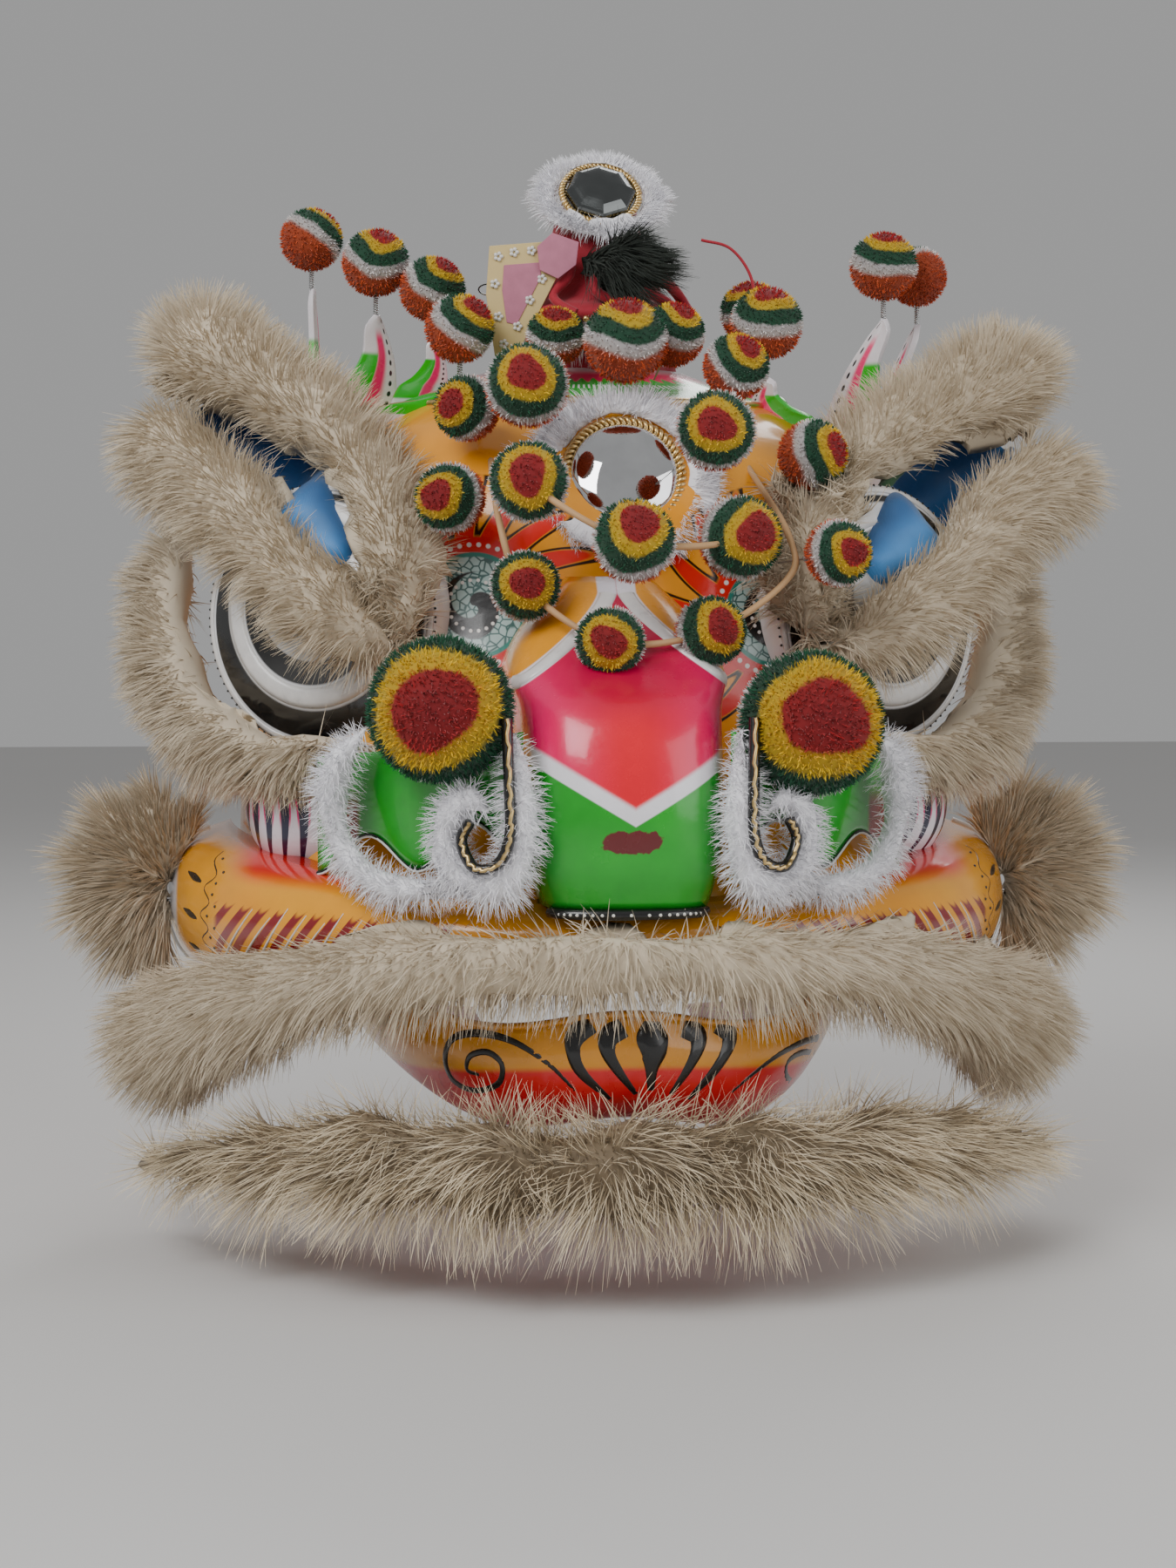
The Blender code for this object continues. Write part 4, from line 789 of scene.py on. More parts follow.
def gill_paint(nodes, _):
    """Curved navy and white stripes, pink where the navy ends."""
    u, v, _ = nodes.axes(own(nodes, "paint", "Vector"))
    bend = nodes.math("MULTIPLY_ADD", nodes.math("MULTIPLY", v, v), 0.34, u)
    wave = nodes.math("SINE", nodes.math("MULTIPLY", bend, 20.0))
    edge = nodes.math("MULTIPLY_ADD", v, -0.95, 0.05)
    navy = nodes.above(wave, edge, 0.1)
    pink = nodes.math("MULTIPLY", nodes.band(nodes.math("SUBTRACT", wave, edge), -0.55, 0.0, 0.1),
                      nodes.band(v, -0.15, 0.45, 0.12))
    colour = nodes.mix(navy, (0.80, 0.78, 0.84), (0.010, 0.010, 0.045))
    return nodes.mix(pink, colour, (0.85, 0.03, 0.22)), nodes.math("SUBTRACT", 1.0, navy)


def jaw_paint(nodes, place):
    """Yellow jaw, red in its lower part."""
    x, _, z = nodes.axes(place)
    patch = nodes.noise(place, 12.0, 3.0)
    colour = nodes.mix(patch, (0.62, 0.22, 0.008), (0.82, 0.36, 0.014))
    wave = nodes.math("MULTIPLY", nodes.math("MULTIPLY", x, x), -0.9)
    edge = nodes.math("ADD", wave, -0.0475)
    return nodes.mix(nodes.above(edge, z, 0.0025), colour, (0.68, 0.012, 0.018))


def fin_paint(nodes, _):
    """White round edge with black dots, a pink band, a green middle."""
    across, up, _ = nodes.axes(own(nodes, "paint", "Vector"))
    colour = (0.84, 0.80, 0.84, 1.0)
    pink = nodes.band(across, 0.46, 0.72, 0.07)
    middle = nodes.band(up, 0.10, 0.88, 0.05)
    colour = nodes.mix(nodes.math("MULTIPLY", pink, middle), colour, (0.88, 0.015, 0.16))
    green = nodes.math("MULTIPLY", nodes.band(across, -0.2, 0.47, 0.012), nodes.band(up, 0.16, 0.74, 0.02))
    colour = nodes.mix(green, colour, (0.012, 0.50, 0.012))
    share = nodes.math("SUBTRACT", nodes.math("FRACT", nodes.math("MULTIPLY", up, 14.0)), 0.5)
    away = nodes.math("MULTIPLY", nodes.math("SUBTRACT", across, 0.86), 8.0)
    gap = nodes.math("SQRT", nodes.math("ADD", nodes.math("MULTIPLY", share, share),
                                        nodes.math("MULTIPLY", away, away)))
    return nodes.mix(nodes.above(0.27, gap, 0.06), colour, (0.01, 0.01, 0.012))


def ear_cloth(nodes, _):
    """Mid blue below, and painted shade in dark blue over the upper side, more of it towards the tip."""
    across, along, _ = nodes.axes(own(nodes, "paint", "Vector"))
    # Painted shade: the upper side of the trough and the tip go dark blue
    shade = nodes.math("MULTIPLY_ADD", along, 0.25, across)
    return nodes.mix(nodes.above(shade, 0.62, 0.16), (0.075, 0.34, 0.80), (0.022, 0.12, 0.32))


def pile_paint(name):
    """Wool pile in rings of colour round the cap, with painted shade that darkens each tuft towards its root."""
    material, shader, nodes, place = blank(name)
    ring = own(nodes, "ring")
    ragged = nodes.math("MULTIPLY_ADD", nodes.noise(place, 420.0, 2.0), 0.030, -0.015)
    ring = nodes.math("ADD", ring, ragged)
    colour = nodes.ramp(ring, [
        (0.000, (0.33, 0.002, 0.008)),
        (0.150, (0.46, 0.006, 0.008)),
        (0.168, (0.86, 0.52, 0.006)),
        (0.245, (0.82, 0.56, 0.008)),
        (0.268, (0.004, 0.075, 0.030)),
        (0.392, (0.006, 0.100, 0.040)),
        (0.415, (0.78, 0.74, 0.74)),
        (0.490, (0.80, 0.74, 0.70)),
        (0.535, (0.62, 0.085, 0.012)),
        (1.000, (0.50, 0.060, 0.010)),
    ])
    # Painted shade towards the root of each tuft, with a random tone for each tuft
    along, tone = own(nodes, "along"), own(nodes, "tone")
    light = nodes.math("MULTIPLY_ADD", along, 0.40, nodes.math("MULTIPLY_ADD", tone, 0.35, 0.48))
    grey = nodes.add("ShaderNodeCombineXYZ", {0: light, 1: light, 2: light}).outputs[0]
    nodes.feed(shader, "Base Color", nodes.mix(1.0, colour, grey, "MULTIPLY"))
    shader.inputs["Roughness"].default_value = 0.85
    shader.inputs["Sheen Weight"].default_value = 0.2
    return material


def pink_flush(nodes, place, colour):
    """Pinkish fluff over the brow, behind the fins."""
    x, _, z = nodes.axes(place)
    wide = nodes.math("ABSOLUTE", x)
    brow = nodes.math("MULTIPLY", nodes.above(z, 0.345, 0.02), nodes.above(0.165, wide, 0.02))
    return nodes.mix(nodes.math("MULTIPLY", brow, 0.7), colour, (0.85, 0.50, 0.44))


FINISH_MAKERS = {
    "shell": lambda: lacquer("shell", shell_paint),
    "cheek": lambda: lacquer("cheek", cheek_paint, 0.18, 0.7),
    "nose": lambda: lacquer("nose", nose_paint, 0.22, 0.35),
    "nostril": lambda: lacquer("nostril", nostril_paint, 0.12, 0.9),
    "eye": lambda: lacquer("eye", eye_paint, 0.13, 0.8),
    "gill": lambda: lacquer("gill", gill_paint, 0.22, 0.5),
    "jaw": lambda: lacquer("jaw", jaw_paint, 0.24, 0.5),
    "fin": lambda: lacquer("fin", fin_paint, 0.22, 0.5),
    "ear": lambda: cloth("ear", ear_cloth, 0.5),
    "ear_edge": lambda: cloth("ear_edge", (0.035, 0.20, 0.50), 0.5),
    "red_cloth": lambda: cloth("red_cloth", (0.42, 0.006, 0.025)),
    # The first colour of each fur is its root colour: painted shade among the strands and on the backing
    "beige_fur": lambda: fur("beige_fur", (0.040, 0.028, 0.018), (0.72, 0.60, 0.46), pink_flush),
    "beard_fur": lambda: fur("beard_fur", (0.26, 0.19, 0.11), (0.95, 0.82, 0.60)),
    "white_fur": lambda: fur("white_fur", (0.42, 0.41, 0.45), (0.95, 0.94, 0.98), sheen=0.3),
    "black_hair": lambda: fur("black_hair", (0.004, 0.005, 0.004), (0.018, 0.024, 0.018)),
    "pile": lambda: pile_paint("pile"),
    "white_line": lambda: plain_paint("white_line", (0.84, 0.82, 0.80)),
    "black_line": lambda: plain_paint("black_line", (0.010, 0.010, 0.010), 0.25),
    "pearl": lambda: plain_paint("pearl", (0.85, 0.83, 0.78), 0.2),
    "green_braid": lambda: cloth("green_braid", (0.012, 0.10, 0.025)),
    "gold": lambda: metal("gold", (0.80, 0.58, 0.26), 0.35),
    "wire": lambda: metal("wire", (0.50, 0.50, 0.50), 0.35),
    "mirror": lambda: metal("mirror", (0.86, 0.87, 0.88), 0.03, 60.0),
    "dark_mirror": lambda: metal("dark_mirror", (0.16, 0.17, 0.17), 0.12, 90.0),
    "card": lambda: plain_paint("card", (0.27, 0.155, 0.045), 0.35),
    "pink_card": lambda: plain_paint("pink_card", (0.56, 0.20, 0.29), 0.4),
    "rattan": lambda: plain_paint("rattan", (0.44, 0.21, 0.08), 0.4, 60.0),
    "bamboo": lambda: plain_paint("bamboo", (0.55, 0.38, 0.18), 0.45, 40.0),
}


def finish(name):
    """A finish's material, made the first time that it is asked for."""
    if name not in bpy.data.materials:
        FINISH_MAKERS[name]()
    return bpy.data.materials[name]


# Geometry node trees


def strands_tree():
    """Strands of fur all over a backing: they lean with its flow, stray, clump and droop."""
    if "fur_strands" in bpy.data.node_groups:
        return bpy.data.node_groups["fur_strands"]
    inputs = [
        ("Geometry", "NodeSocketGeometry", None),
        ("Density", "NodeSocketFloat", 1000.0),
        ("Length", "NodeSocketFloat", 0.03),
        ("Width", "NodeSocketFloat", 0.001),
        ("Sink", "NodeSocketFloat", 0.01),
        ("Lean", "NodeSocketFloat", 1.0),
        ("Droop", "NodeSocketFloat", 0.1),
        ("Stray", "NodeSocketFloat", 0.3),
        ("Clump", "NodeSocketFloat", 0.8),
        ("Clump Scale", "NodeSocketFloat", 60.0),
        ("Steps", "NodeSocketInt", 4),
        ("Seed", "NodeSocketInt", STRAND_SEED),
        ("Material", "NodeSocketMaterial", None),
    ]
    tree, n, start, end = group_tree(
        "fur_strands", "GeometryNodeTree", inputs, [("Geometry", "NodeSocketGeometry")]
    )
    s = start.outputs
    normal = n.add("GeometryNodeInputNormal").outputs[0]
    inward = n.scaled(normal, n.math("MULTIPLY", s["Sink"], -1.0))
    backing = n.add("GeometryNodeSetPosition", {"Geometry": s["Geometry"], "Offset": inward}).outputs[0]
    density = n.math("MULTIPLY", s["Density"], n.attribute("cover"))
    spread = n.add("GeometryNodeDistributePointsOnFaces",
                   {"Mesh": backing, "Density": density, "Seed": s["Seed"]})
    place = n.add("GeometryNodeInputPosition").outputs[0]
    lock = n.vector("SUBTRACT", n.noise(place, s["Clump Scale"], 1.0, 1), (0.5, 0.5, 0.5))
    stray = n.add("FunctionNodeRandomValue", {"Min": (-1, -1, -1), "Max": (1, 1, 1), "Seed": s["Seed"]},
                  data_type="FLOAT_VECTOR").outputs[0]
    flow = n.scaled(n.attribute("flow", "FLOAT_VECTOR"), s["Lean"])
    aim = n.vector("ADD", spread.outputs["Normal"], flow)
    aim = n.vector("ADD", aim, n.scaled(stray, s["Stray"]))
    aim = n.vector("NORMALIZE", n.vector("ADD", aim, n.scaled(lock, s["Clump"])))
    tone = n.add("FunctionNodeRandomValue", {"Seed": 3}, data_type="FLOAT")
    tone = next(o for o in tone.outputs if o.enabled)
    long = n.math("MULTIPLY", s["Length"], n.math("MULTIPLY_ADD", tone, 0.45, 0.68))
    fall = n.vector("ADD", n.scaled(lock, n.math("MULTIPLY", s["Clump"], 0.7)),
                    n.scaled((0.0, 0.0, -1.0), s["Droop"]))
    fall = n.scaled(fall, long)
    points = spread.outputs["Points"]
    for name, kind, value in (("tone", "FLOAT", tone), ("aim", "FLOAT_VECTOR", aim),
                              ("fall", "FLOAT_VECTOR", fall), ("long", "FLOAT", long)):
        store = n.add("GeometryNodeStoreNamedAttribute", {"Geometry": points, "Name": name},
                      data_type=kind)
        n.feed(store, "Value", value)
        points = store.outputs[0]
    grid = n.add("GeometryNodeMeshGrid", {"Size X": 1.0, "Size Y": 1.0, "Vertices X": 2,
                                          "Vertices Y": s["Steps"]}).outputs["Mesh"]
    gx, gy, _ = n.axes(n.add("GeometryNodeInputPosition").outputs[0])
    along = n.math("ADD", gy, 0.5)
    grid = n.add("GeometryNodeStoreNamedAttribute", {"Geometry": grid, "Name": "along", "Value": along},
                 data_type="FLOAT").outputs[0]
    taper = n.math("MULTIPLY_ADD", n.attribute("along"), -0.88, 1.0)
    wide = n.math("MULTIPLY", n.math("MULTIPLY", gx, s["Width"]), taper)
    shape = n.add("ShaderNodeCombineXYZ", {0: wide, 1: 0.0, 2: n.attribute("along")}).outputs[0]
    blade = n.add("GeometryNodeSetPosition", {"Geometry": grid, "Position": shape}).outputs[0]
    twist = n.add("FunctionNodeRandomValue", {"Min": (0, 0, 0), "Max": (0, 0, 6.283), "Seed": 8},
                  data_type="FLOAT_VECTOR").outputs[0]
    turned = n.add("FunctionNodeEulerToRotation", {"Euler": twist}).outputs[0]
    turned = n.add("FunctionNodeAlignRotationToVector",
                   {"Rotation": turned, "Vector": n.attribute("aim", "FLOAT_VECTOR")}, axis="Z").outputs[0]
    scale = n.add("ShaderNodeCombineXYZ", {0: 1.0, 1: 1.0, 2: n.attribute("long")}).outputs[0]
    placed = n.add("GeometryNodeInstanceOnPoints",
                   {"Points": points, "Instance": blade, "Rotation": turned, "Scale": scale}).outputs[0]
    real = n.add("GeometryNodeRealizeInstances", {"Geometry": placed}).outputs[0]
    bend = n.math("MULTIPLY", n.attribute("along"), n.attribute("along"))
    fallen = n.scaled(n.attribute("fall", "FLOAT_VECTOR"), bend)
    real = n.add("GeometryNodeSetPosition", {"Geometry": real, "Offset": fallen}).outputs[0]
    # The backing has no along attribute, so the fur's material gives it the dark root colour: painted shade under the
    # strands
    both = n.add("GeometryNodeJoinGeometry", {"Geometry": backing})
    n.tree.links.new(real, both.inputs[0])
    done = n.add("GeometryNodeSetShadeSmooth", {"Geometry": both.outputs[0]}).outputs[0]
    done = n.add("GeometryNodeSetMaterial", {"Geometry": done, "Material": s["Material"]}).outputs[0]
    n.feed(end, "Geometry", done)
    return tree


def piping_tree():
    """A round cord along each line of a mesh, as thick as the line's size attribute says."""
    if "piping" in bpy.data.node_groups:
        return bpy.data.node_groups["piping"]
    inputs = [
        ("Geometry", "NodeSocketGeometry", None),
        ("Sides", "NodeSocketInt", 8),
        ("Material", "NodeSocketMaterial", None),
    ]
    tree, n, start, end = group_tree(
        "piping", "GeometryNodeTree", inputs, [("Geometry", "NodeSocketGeometry")]
    )
    s = start.outputs
    curve = n.add("GeometryNodeMeshToCurve", {"Mesh": s["Geometry"]}).outputs[0]
    profile = n.add("GeometryNodeCurvePrimitiveCircle", {"Resolution": s["Sides"], "Radius": 1.0}).outputs[0]
    tube = n.add("GeometryNodeCurveToMesh",
                 {"Curve": curve, "Profile Curve": profile, "Scale": n.attribute("size"),
                  "Fill Caps": True}).outputs[0]
    tube = n.add("GeometryNodeRealizeInstances", {"Geometry": tube}).outputs[0]
    tube = n.add("GeometryNodeSetShadeSmooth", {"Geometry": tube}).outputs[0]
    tube = n.add("GeometryNodeSetMaterial", {"Geometry": tube, "Material": s["Material"]}).outputs[0]
    n.feed(end, "Geometry", tube)
    return tree


def painted_line_tree():
    """A brushed line: a cord along each line of a mesh, pressed flat onto a surface."""
    if "painted_line" in bpy.data.node_groups:
        return bpy.data.node_groups["painted_line"]
    inputs = [
        ("Geometry", "NodeSocketGeometry", None),
        ("Surface", "NodeSocketObject", None),
        ("Relief", "NodeSocketFloat", 0.25),
        ("Material", "NodeSocketMaterial", None),
    ]
    tree, n, start, end = group_tree(
        "painted_line", "GeometryNodeTree", inputs, [("Geometry", "NodeSocketGeometry")]
    )
    s = start.outputs
    surface = n.add("GeometryNodeObjectInfo", {"Object": s["Surface"]}).outputs["Geometry"]
    curve = n.add("GeometryNodeMeshToCurve", {"Mesh": s["Geometry"]}).outputs[0]
    profile = n.add("GeometryNodeCurvePrimitiveCircle", {"Resolution": 8, "Radius": 1.0}).outputs[0]
    tube = n.add("GeometryNodeCurveToMesh",
                 {"Curve": curve, "Profile Curve": profile, "Scale": n.attribute("size"),
                  "Fill Caps": True}).outputs[0]
    place = n.add("GeometryNodeInputPosition").outputs[0]
    nearest = n.add("GeometryNodeProximity", {"Geometry": surface}, target_element="FACES").outputs["Position"]
    facing = n.add("GeometryNodeInputNormal").outputs[0]
    sample = n.add("GeometryNodeSampleNearestSurface", {"Mesh": surface, "Value": facing},
                   data_type="FLOAT_VECTOR").outputs[0]
    raised = n.vector("DOT_PRODUCT", n.vector("SUBTRACT", place, nearest), sample)
    press = n.math("MULTIPLY", raised, n.math("SUBTRACT", s["Relief"], 1.0))
    tube = n.add("GeometryNodeSetPosition", {"Geometry": tube, "Offset": n.scaled(sample, press)}).outputs[0]
    tube = n.add("GeometryNodeRealizeInstances", {"Geometry": tube}).outputs[0]
    tube = n.add("GeometryNodeSetShadeSmooth", {"Geometry": tube}).outputs[0]
    tube = n.add("GeometryNodeSetMaterial", {"Geometry": tube, "Material": s["Material"]}).outputs[0]
    n.feed(end, "Geometry", tube)
    return tree


def beads_tree():
    """A round bead at each point of a mesh, as large as its size attribute says."""
    if "beads" in bpy.data.node_groups:
        return bpy.data.node_groups["beads"]
    inputs = [("Geometry", "NodeSocketGeometry", None), ("Material", "NodeSocketMaterial", None)]
    tree, n, start, end = group_tree(
        "beads", "GeometryNodeTree", inputs, [("Geometry", "NodeSocketGeometry")]
    )
    s = start.outputs
    ball = n.add("GeometryNodeMeshIcoSphere", {"Radius": 1.0, "Subdivisions": 2}).outputs["Mesh"]
    size = n.attribute("size")
    scale = n.add("ShaderNodeCombineXYZ", {0: size, 1: size, 2: size}).outputs[0]
    placed = n.add("GeometryNodeInstanceOnPoints",
                   {"Points": s["Geometry"], "Instance": ball, "Scale": scale}).outputs[0]
    real = n.add("GeometryNodeRealizeInstances", {"Geometry": placed}).outputs[0]
    real = n.add("GeometryNodeSetShadeSmooth", {"Geometry": real}).outputs[0]
    real = n.add("GeometryNodeSetMaterial", {"Geometry": real, "Material": s["Material"]}).outputs[0]
    n.feed(end, "Geometry", real)
    return tree


def run_tree(thing, tree, **values):
    """Runs a geometry tree on an object and keeps its result as a plain mesh."""
    modifier = thing.modifiers.new(tree.name, "NODES")
    modifier.node_group = tree
    for item in tree.interface.items_tree:
        key = item.name.replace(" ", "_").lower()
        if item.in_out == "INPUT" and key in values:
            modifier[item.identifier] = values[key]
    return bake(thing)


def bake(thing):
    """Replaces an object's mesh with its evaluated one and drops its modifiers."""
    graph = bpy.context.evaluated_depsgraph_get()
    mesh = bpy.data.meshes.new_from_object(thing.evaluated_get(graph))
    if not mesh.polygons:
        raise RuntimeError(f"{thing.name} came out empty")
    thing.modifiers.clear()
    thing.data = mesh
    mesh.name = thing.name
    return thing


def new_object(name, mesh):
    """An object in the scene for a mesh."""
    thing = bpy.data.objects.new(name, mesh)
    bpy.context.scene.collection.objects.link(thing)
    return thing


def keep(thing, body, slot, *nodes):
    """Says which body a piece rides on, and hides the solids that it stands for. Its slot is not used."""
    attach(thing, body)
    if nodes:
        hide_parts(*nodes)
    return thing


def join(name, things):
    """One object of several."""
    bm = bmesh.new()
    materials = []
    for thing in things:
        start = len(bm.faces)
        bm.from_mesh(thing.data)
        bm.faces.ensure_lookup_table()
        for face in bm.faces[start:]:
            material = thing.data.materials[face.material_index]
            if material not in materials:
                materials.append(material)
            face.material_index = materials.index(material)
        bpy.data.objects.remove(thing, do_unlink=True)
    mesh = bpy.data.meshes.new(name)
    bm.to_mesh(mesh)
    bm.free()
    for material in materials:
        mesh.materials.append(material)
    return new_object(name, mesh)


def sheet(name, rows, material, closed=False, tip=None, tip_paint=None, paints=None):
    """A smooth sheet through rows of points. paints gives each point's paint attribute."""
    bm = bmesh.new()
    layer = bm.verts.layers.float_vector.new("paint")
    rings = []
    for i, row in enumerate(rows):
        ring = []
        for j, place in enumerate(row):
            v = bm.verts.new(place)
            if paints:
                v[layer] = paints[i][j]
            ring.append(v)
        rings.append(ring)
    for a, b in zip(rings, rings[1:]):
        count = len(a)
        for i in range(count if closed else count - 1):
            j = (i + 1) % count
            bm.faces.new((a[i], a[j], b[j], b[i]))
    if tip is not None:
        top = bm.verts.new(tip)
        top[layer] = tip_paint or (0, 0, 0)
        ring = rings[-1]
        for i in range(len(ring)):
            bm.faces.new((ring[i], ring[(i + 1) % len(ring)], top))
    mesh = bpy.data.meshes.new(name)
    bmesh.ops.recalc_face_normals(bm, faces=bm.faces)
    bm.to_mesh(mesh)
    bm.free()
    mesh.materials.append(material)
    mesh.shade_smooth()
    return new_object(name, mesh)


def wall(thing, away_from, thickness=PAPIER_WALL):
    """Gives a sheet its wall, on the side that looks at a place."""
    face = max(thing.data.polygons, key=lambda p: p.area)
    if (face.center - away_from).dot(face.normal) < 0:
        thing.data.flip_normals()
    solidify = thing.modifiers.new("wall", "SOLIDIFY")
    solidify.thickness = thickness
    solidify.offset = -1.0
    solidify.use_rim = True
    return bake(thing)


def lathe(name, foot, ahead, profile, sides, material, up=Vector((0, 0, 1))):
    """A closed solid turned about a line: rows of distance and radius between two tips."""
    right, top, ahead = basis(ahead, up)
    rows = []
    for distance, radius in profile[1:-1]:
        row = []
        for i in range(sides):
            turn = 2 * math.pi * i / sides
            row.append(foot + ahead * distance + (right * math.cos(turn) + top * math.sin(turn)) * radius)
        rows.append(row)
    thing = sheet(name, rows, material, closed=True, tip=foot + ahead * profile[-1][0])
    bm = bmesh.new()
    bm.from_mesh(thing.data)
    low = bm.verts.new(foot + ahead * profile[0][0])
    rim = [e for e in bm.edges if e.is_boundary]
    for edge in rim:
        bm.faces.new((edge.verts[0], edge.verts[1], low))
    bmesh.ops.recalc_face_normals(bm, faces=bm.faces)
    for face in bm.faces:
        face.smooth = True
    bm.to_mesh(thing.data)
    bm.free()
    return thing


def lines_mesh(name, strokes):
    """A mesh of open lines. Each stroke is rows of x, y, z and half thickness."""
    mesh = bpy.data.meshes.new(name)
    places, edges, sizes = [], [], []
    for stroke in strokes:
        start = len(places)
        places.extend(row[:3] for row in stroke)
        sizes.extend(row[3] for row in stroke)
        edges.extend((start + i, start + i + 1) for i in range(len(stroke) - 1))
    mesh.from_pydata(places, edges, [])
    mesh.attributes.new("size", "FLOAT", "POINT").data.foreach_set("value", sizes)
    return new_object(name, mesh)


def piping(name, strokes, material, sides=8):
    """Round cords along strokes."""
    return run_tree(lines_mesh(name, strokes), piping_tree(), sides=sides, material=material)


def painted_lines(name, strokes, surface, material, relief=0.25):
    """Brushed lines along strokes, pressed onto a surface."""
    return run_tree(lines_mesh(name, strokes), painted_line_tree(), surface=surface,
                    relief=relief, material=material)


def beads(name, places, material):
    """Beads at places with their sizes."""
    mesh = bpy.data.meshes.new(name)
    mesh.from_pydata([p[:3] for p in places], [], [])
    mesh.attributes.new("size", "FLOAT", "POINT").data.foreach_set("value", [p[3] for p in places])
    return run_tree(new_object(name, mesh), beads_tree(), material=material)


def tree_of(thing):
    """A tree for casting rays onto an object's mesh."""
    bm = bmesh.new()
    bm.from_mesh(thing.data)
    tree = BVHTree.FromBMesh(bm)
    bm.free()
    return tree


def drawn(thing, stroke, count):
    """A stroke of photograph points, cast onto an object: x, y, z and half thickness."""
    tree = tree_of(thing)
    rows = []
    for px, py, half in smooth_path(stroke, count):
        start, aim = sight(px, py)
        place, _, _, distance = tree.ray_cast(start, aim)
        if place is None:
            continue
        rows.append((*place, max(half, 0.6) * PHOTO_SCALE * distance / CAMERA_DISTANCE))
    return rows


# Shapes of the papier and cloth pieces


def shell_point(turn, z):
    """Point of the shell's outer face at a turn from the front and a height."""
    level = max(z / CROWN_HEIGHT, 0.0)
    width, front, back = between(SHELL_SECTIONS, level)
    across, along = math.sin(turn), math.cos(turn)
    x = HALF_WIDTH * width * math.copysign(abs(across) ** SHELL_BOXINESS, across)
    reach = FRONT_REACH * front if along > 0 else BACK_REACH * back
    y = -reach * math.copysign(abs(along) ** SHELL_BOXINESS, along)
    return Vector((x, y, z))


def make_shell():
    """The smooth papier dome."""
    columns, levels = 96, 40
    rows = []
    for i in range(levels):
        share = 0.985 * i / (levels - 1)
        row = []
        for j in range(columns):
            degrees = 360 * j / columns
            rim = between(SHELL_RIM, min(degrees, 360 - degrees))[0] * CROWN_HEIGHT
            z = rim + (CROWN_HEIGHT * SHELL_TOP - rim) * share
            row.append(shell_point(math.radians(degrees), z))
        rows.append(row)
    thing = sheet("shell", rows, finish("shell"), closed=True, tip=at(0, 0, SHELL_TOP))
    return wall(thing, at(0, 0, 0.4))


def cheek_point(turn, drop):
    """Point of the upper jaw at a turn from the front and a share of its drop."""
    inward = between(CHEEK_SECTION, drop)[0]
    share = math.sin(turn) ** 2
    top = NOSE_BOTTOM * (0.98 + 0.62 * share)
    height = CHEEK_HEIGHT * (0.36 + 0.64 * share)
    wide = CHEEK_HALF_WIDTH * (1 - inward * 0.7)
    reach = CHEEK_REACH * (1 - inward * 0.55)
    return Vector((wide * math.sin(turn), -reach * max(math.cos(turn), 0.0) ** 0.9, top - height * drop))


def make_cheeks():
    """The smooth upper jaw with its raised strokes, dotted scrolls and silver ends."""
    columns, levels = 97, 21
    rows = [
        [cheek_point(math.radians(-86 + 172 * j / (columns - 1)), i / (levels - 1)) for j in range(columns)]
        for i in range(levels)
    ]
    thing = wall(sheet("upper_jaw_skin", rows, finish("cheek")), Vector((0, 0, NOSE_BOTTOM)))
    tree = tree_of(thing)
    white, black, dots_at, rims = [], [], [], []
    for side in (-1, 1):
        for i in range(13):
            low_x = 0.119 + 0.0119 * i
            stroke = []
            for k in range(9):
                t = k / 8
                up = t * (0.062 + 0.004 * math.sin(i * 2.1)) - 0.0227
                x = low_x - 0.026 * (t ** 2) - 0.002 * math.sin(t * 3)
                hit = tree.ray_cast(Vector((side * x, -1, up)), Vector((0, 1, 0)))[0]
                if hit:
                    stroke.append((*hit, 0.0011 * (1 - 0.65 * t ** 3)))
            if len(stroke) > 3:
                white.append(stroke)
        scroll = []
        for k in range(49):
            t = k / 48
            z = 0.070 - 0.088 * t
            x = 0.2700 - 0.012 * (2 * t - 1) ** 2 + 0.0028 * math.sin(t * 31)
            hit = tree.ray_cast(Vector((side * x, -1, z)), Vector((0, 1, 0)))[0]
            if hit:
                scroll.append((*hit, 0.0006))
            if k % 4 == 2:
                dot = tree.ray_cast(Vector((side * (x - 0.0052), -1, z)), Vector((0, 1, 0)))[0]
                if dot:
                    dots_at.append((*dot, 0.0011))
        black.append(scroll)
        for t in (0.22, 0.50, 0.78):
            z = 0.070 - 0.088 * t
            eye = []
            for k in range(5):
                x = 0.2755 + 0.0026 * k - 0.010 * (2 * t - 1) ** 2
                hit = tree.ray_cast(Vector((side * x, -1, z + 0.001 * k)), Vector((0, 1, 0)))[0]
                if hit:
                    eye.append((*hit, (0.0008, 0.0022, 0.0028, 0.0020, 0.0006)[k]))
            if len(eye) > 3:
                black.append(eye)
        rims.append([
            (*cheek_point(math.radians(side * 85.5), 0.05 + 0.9 * k / 16), 0.0032) for k in range(17)
        ])
    parts = [
        thing,
        painted_lines("strokes", white, thing, finish("white_line"), 0.9),
        painted_lines("scrolls", black, thing, finish("black_line"), 0.22),
        beads("scroll_dots", dots_at, finish("black_line")),
        piping("cheek_rims", rims, finish("white_line")),
    ]
    return keep(join("upper_jaw_lacquer", parts), "head", "papier_yellow", "upper_jaw")


def nose_point(level, turn):
    """Point of the nose at a level up it and a turn from its front."""
    width, reach = between(NOSE_SECTIONS, level)
    z = NOSE_BOTTOM + NOSE_HEIGHT * level
    across = math.copysign(abs(math.sin(turn)) ** 0.7, math.sin(turn))
    deep = 1 - max(math.cos(turn), 0.0) ** 0.35
    back = shell_point(0.0, z).y + 0.012
    front = -NOSE_REACH * reach
    return Vector((NOSE_HALF_WIDTH * width * across, front + (back - front) * deep, z))


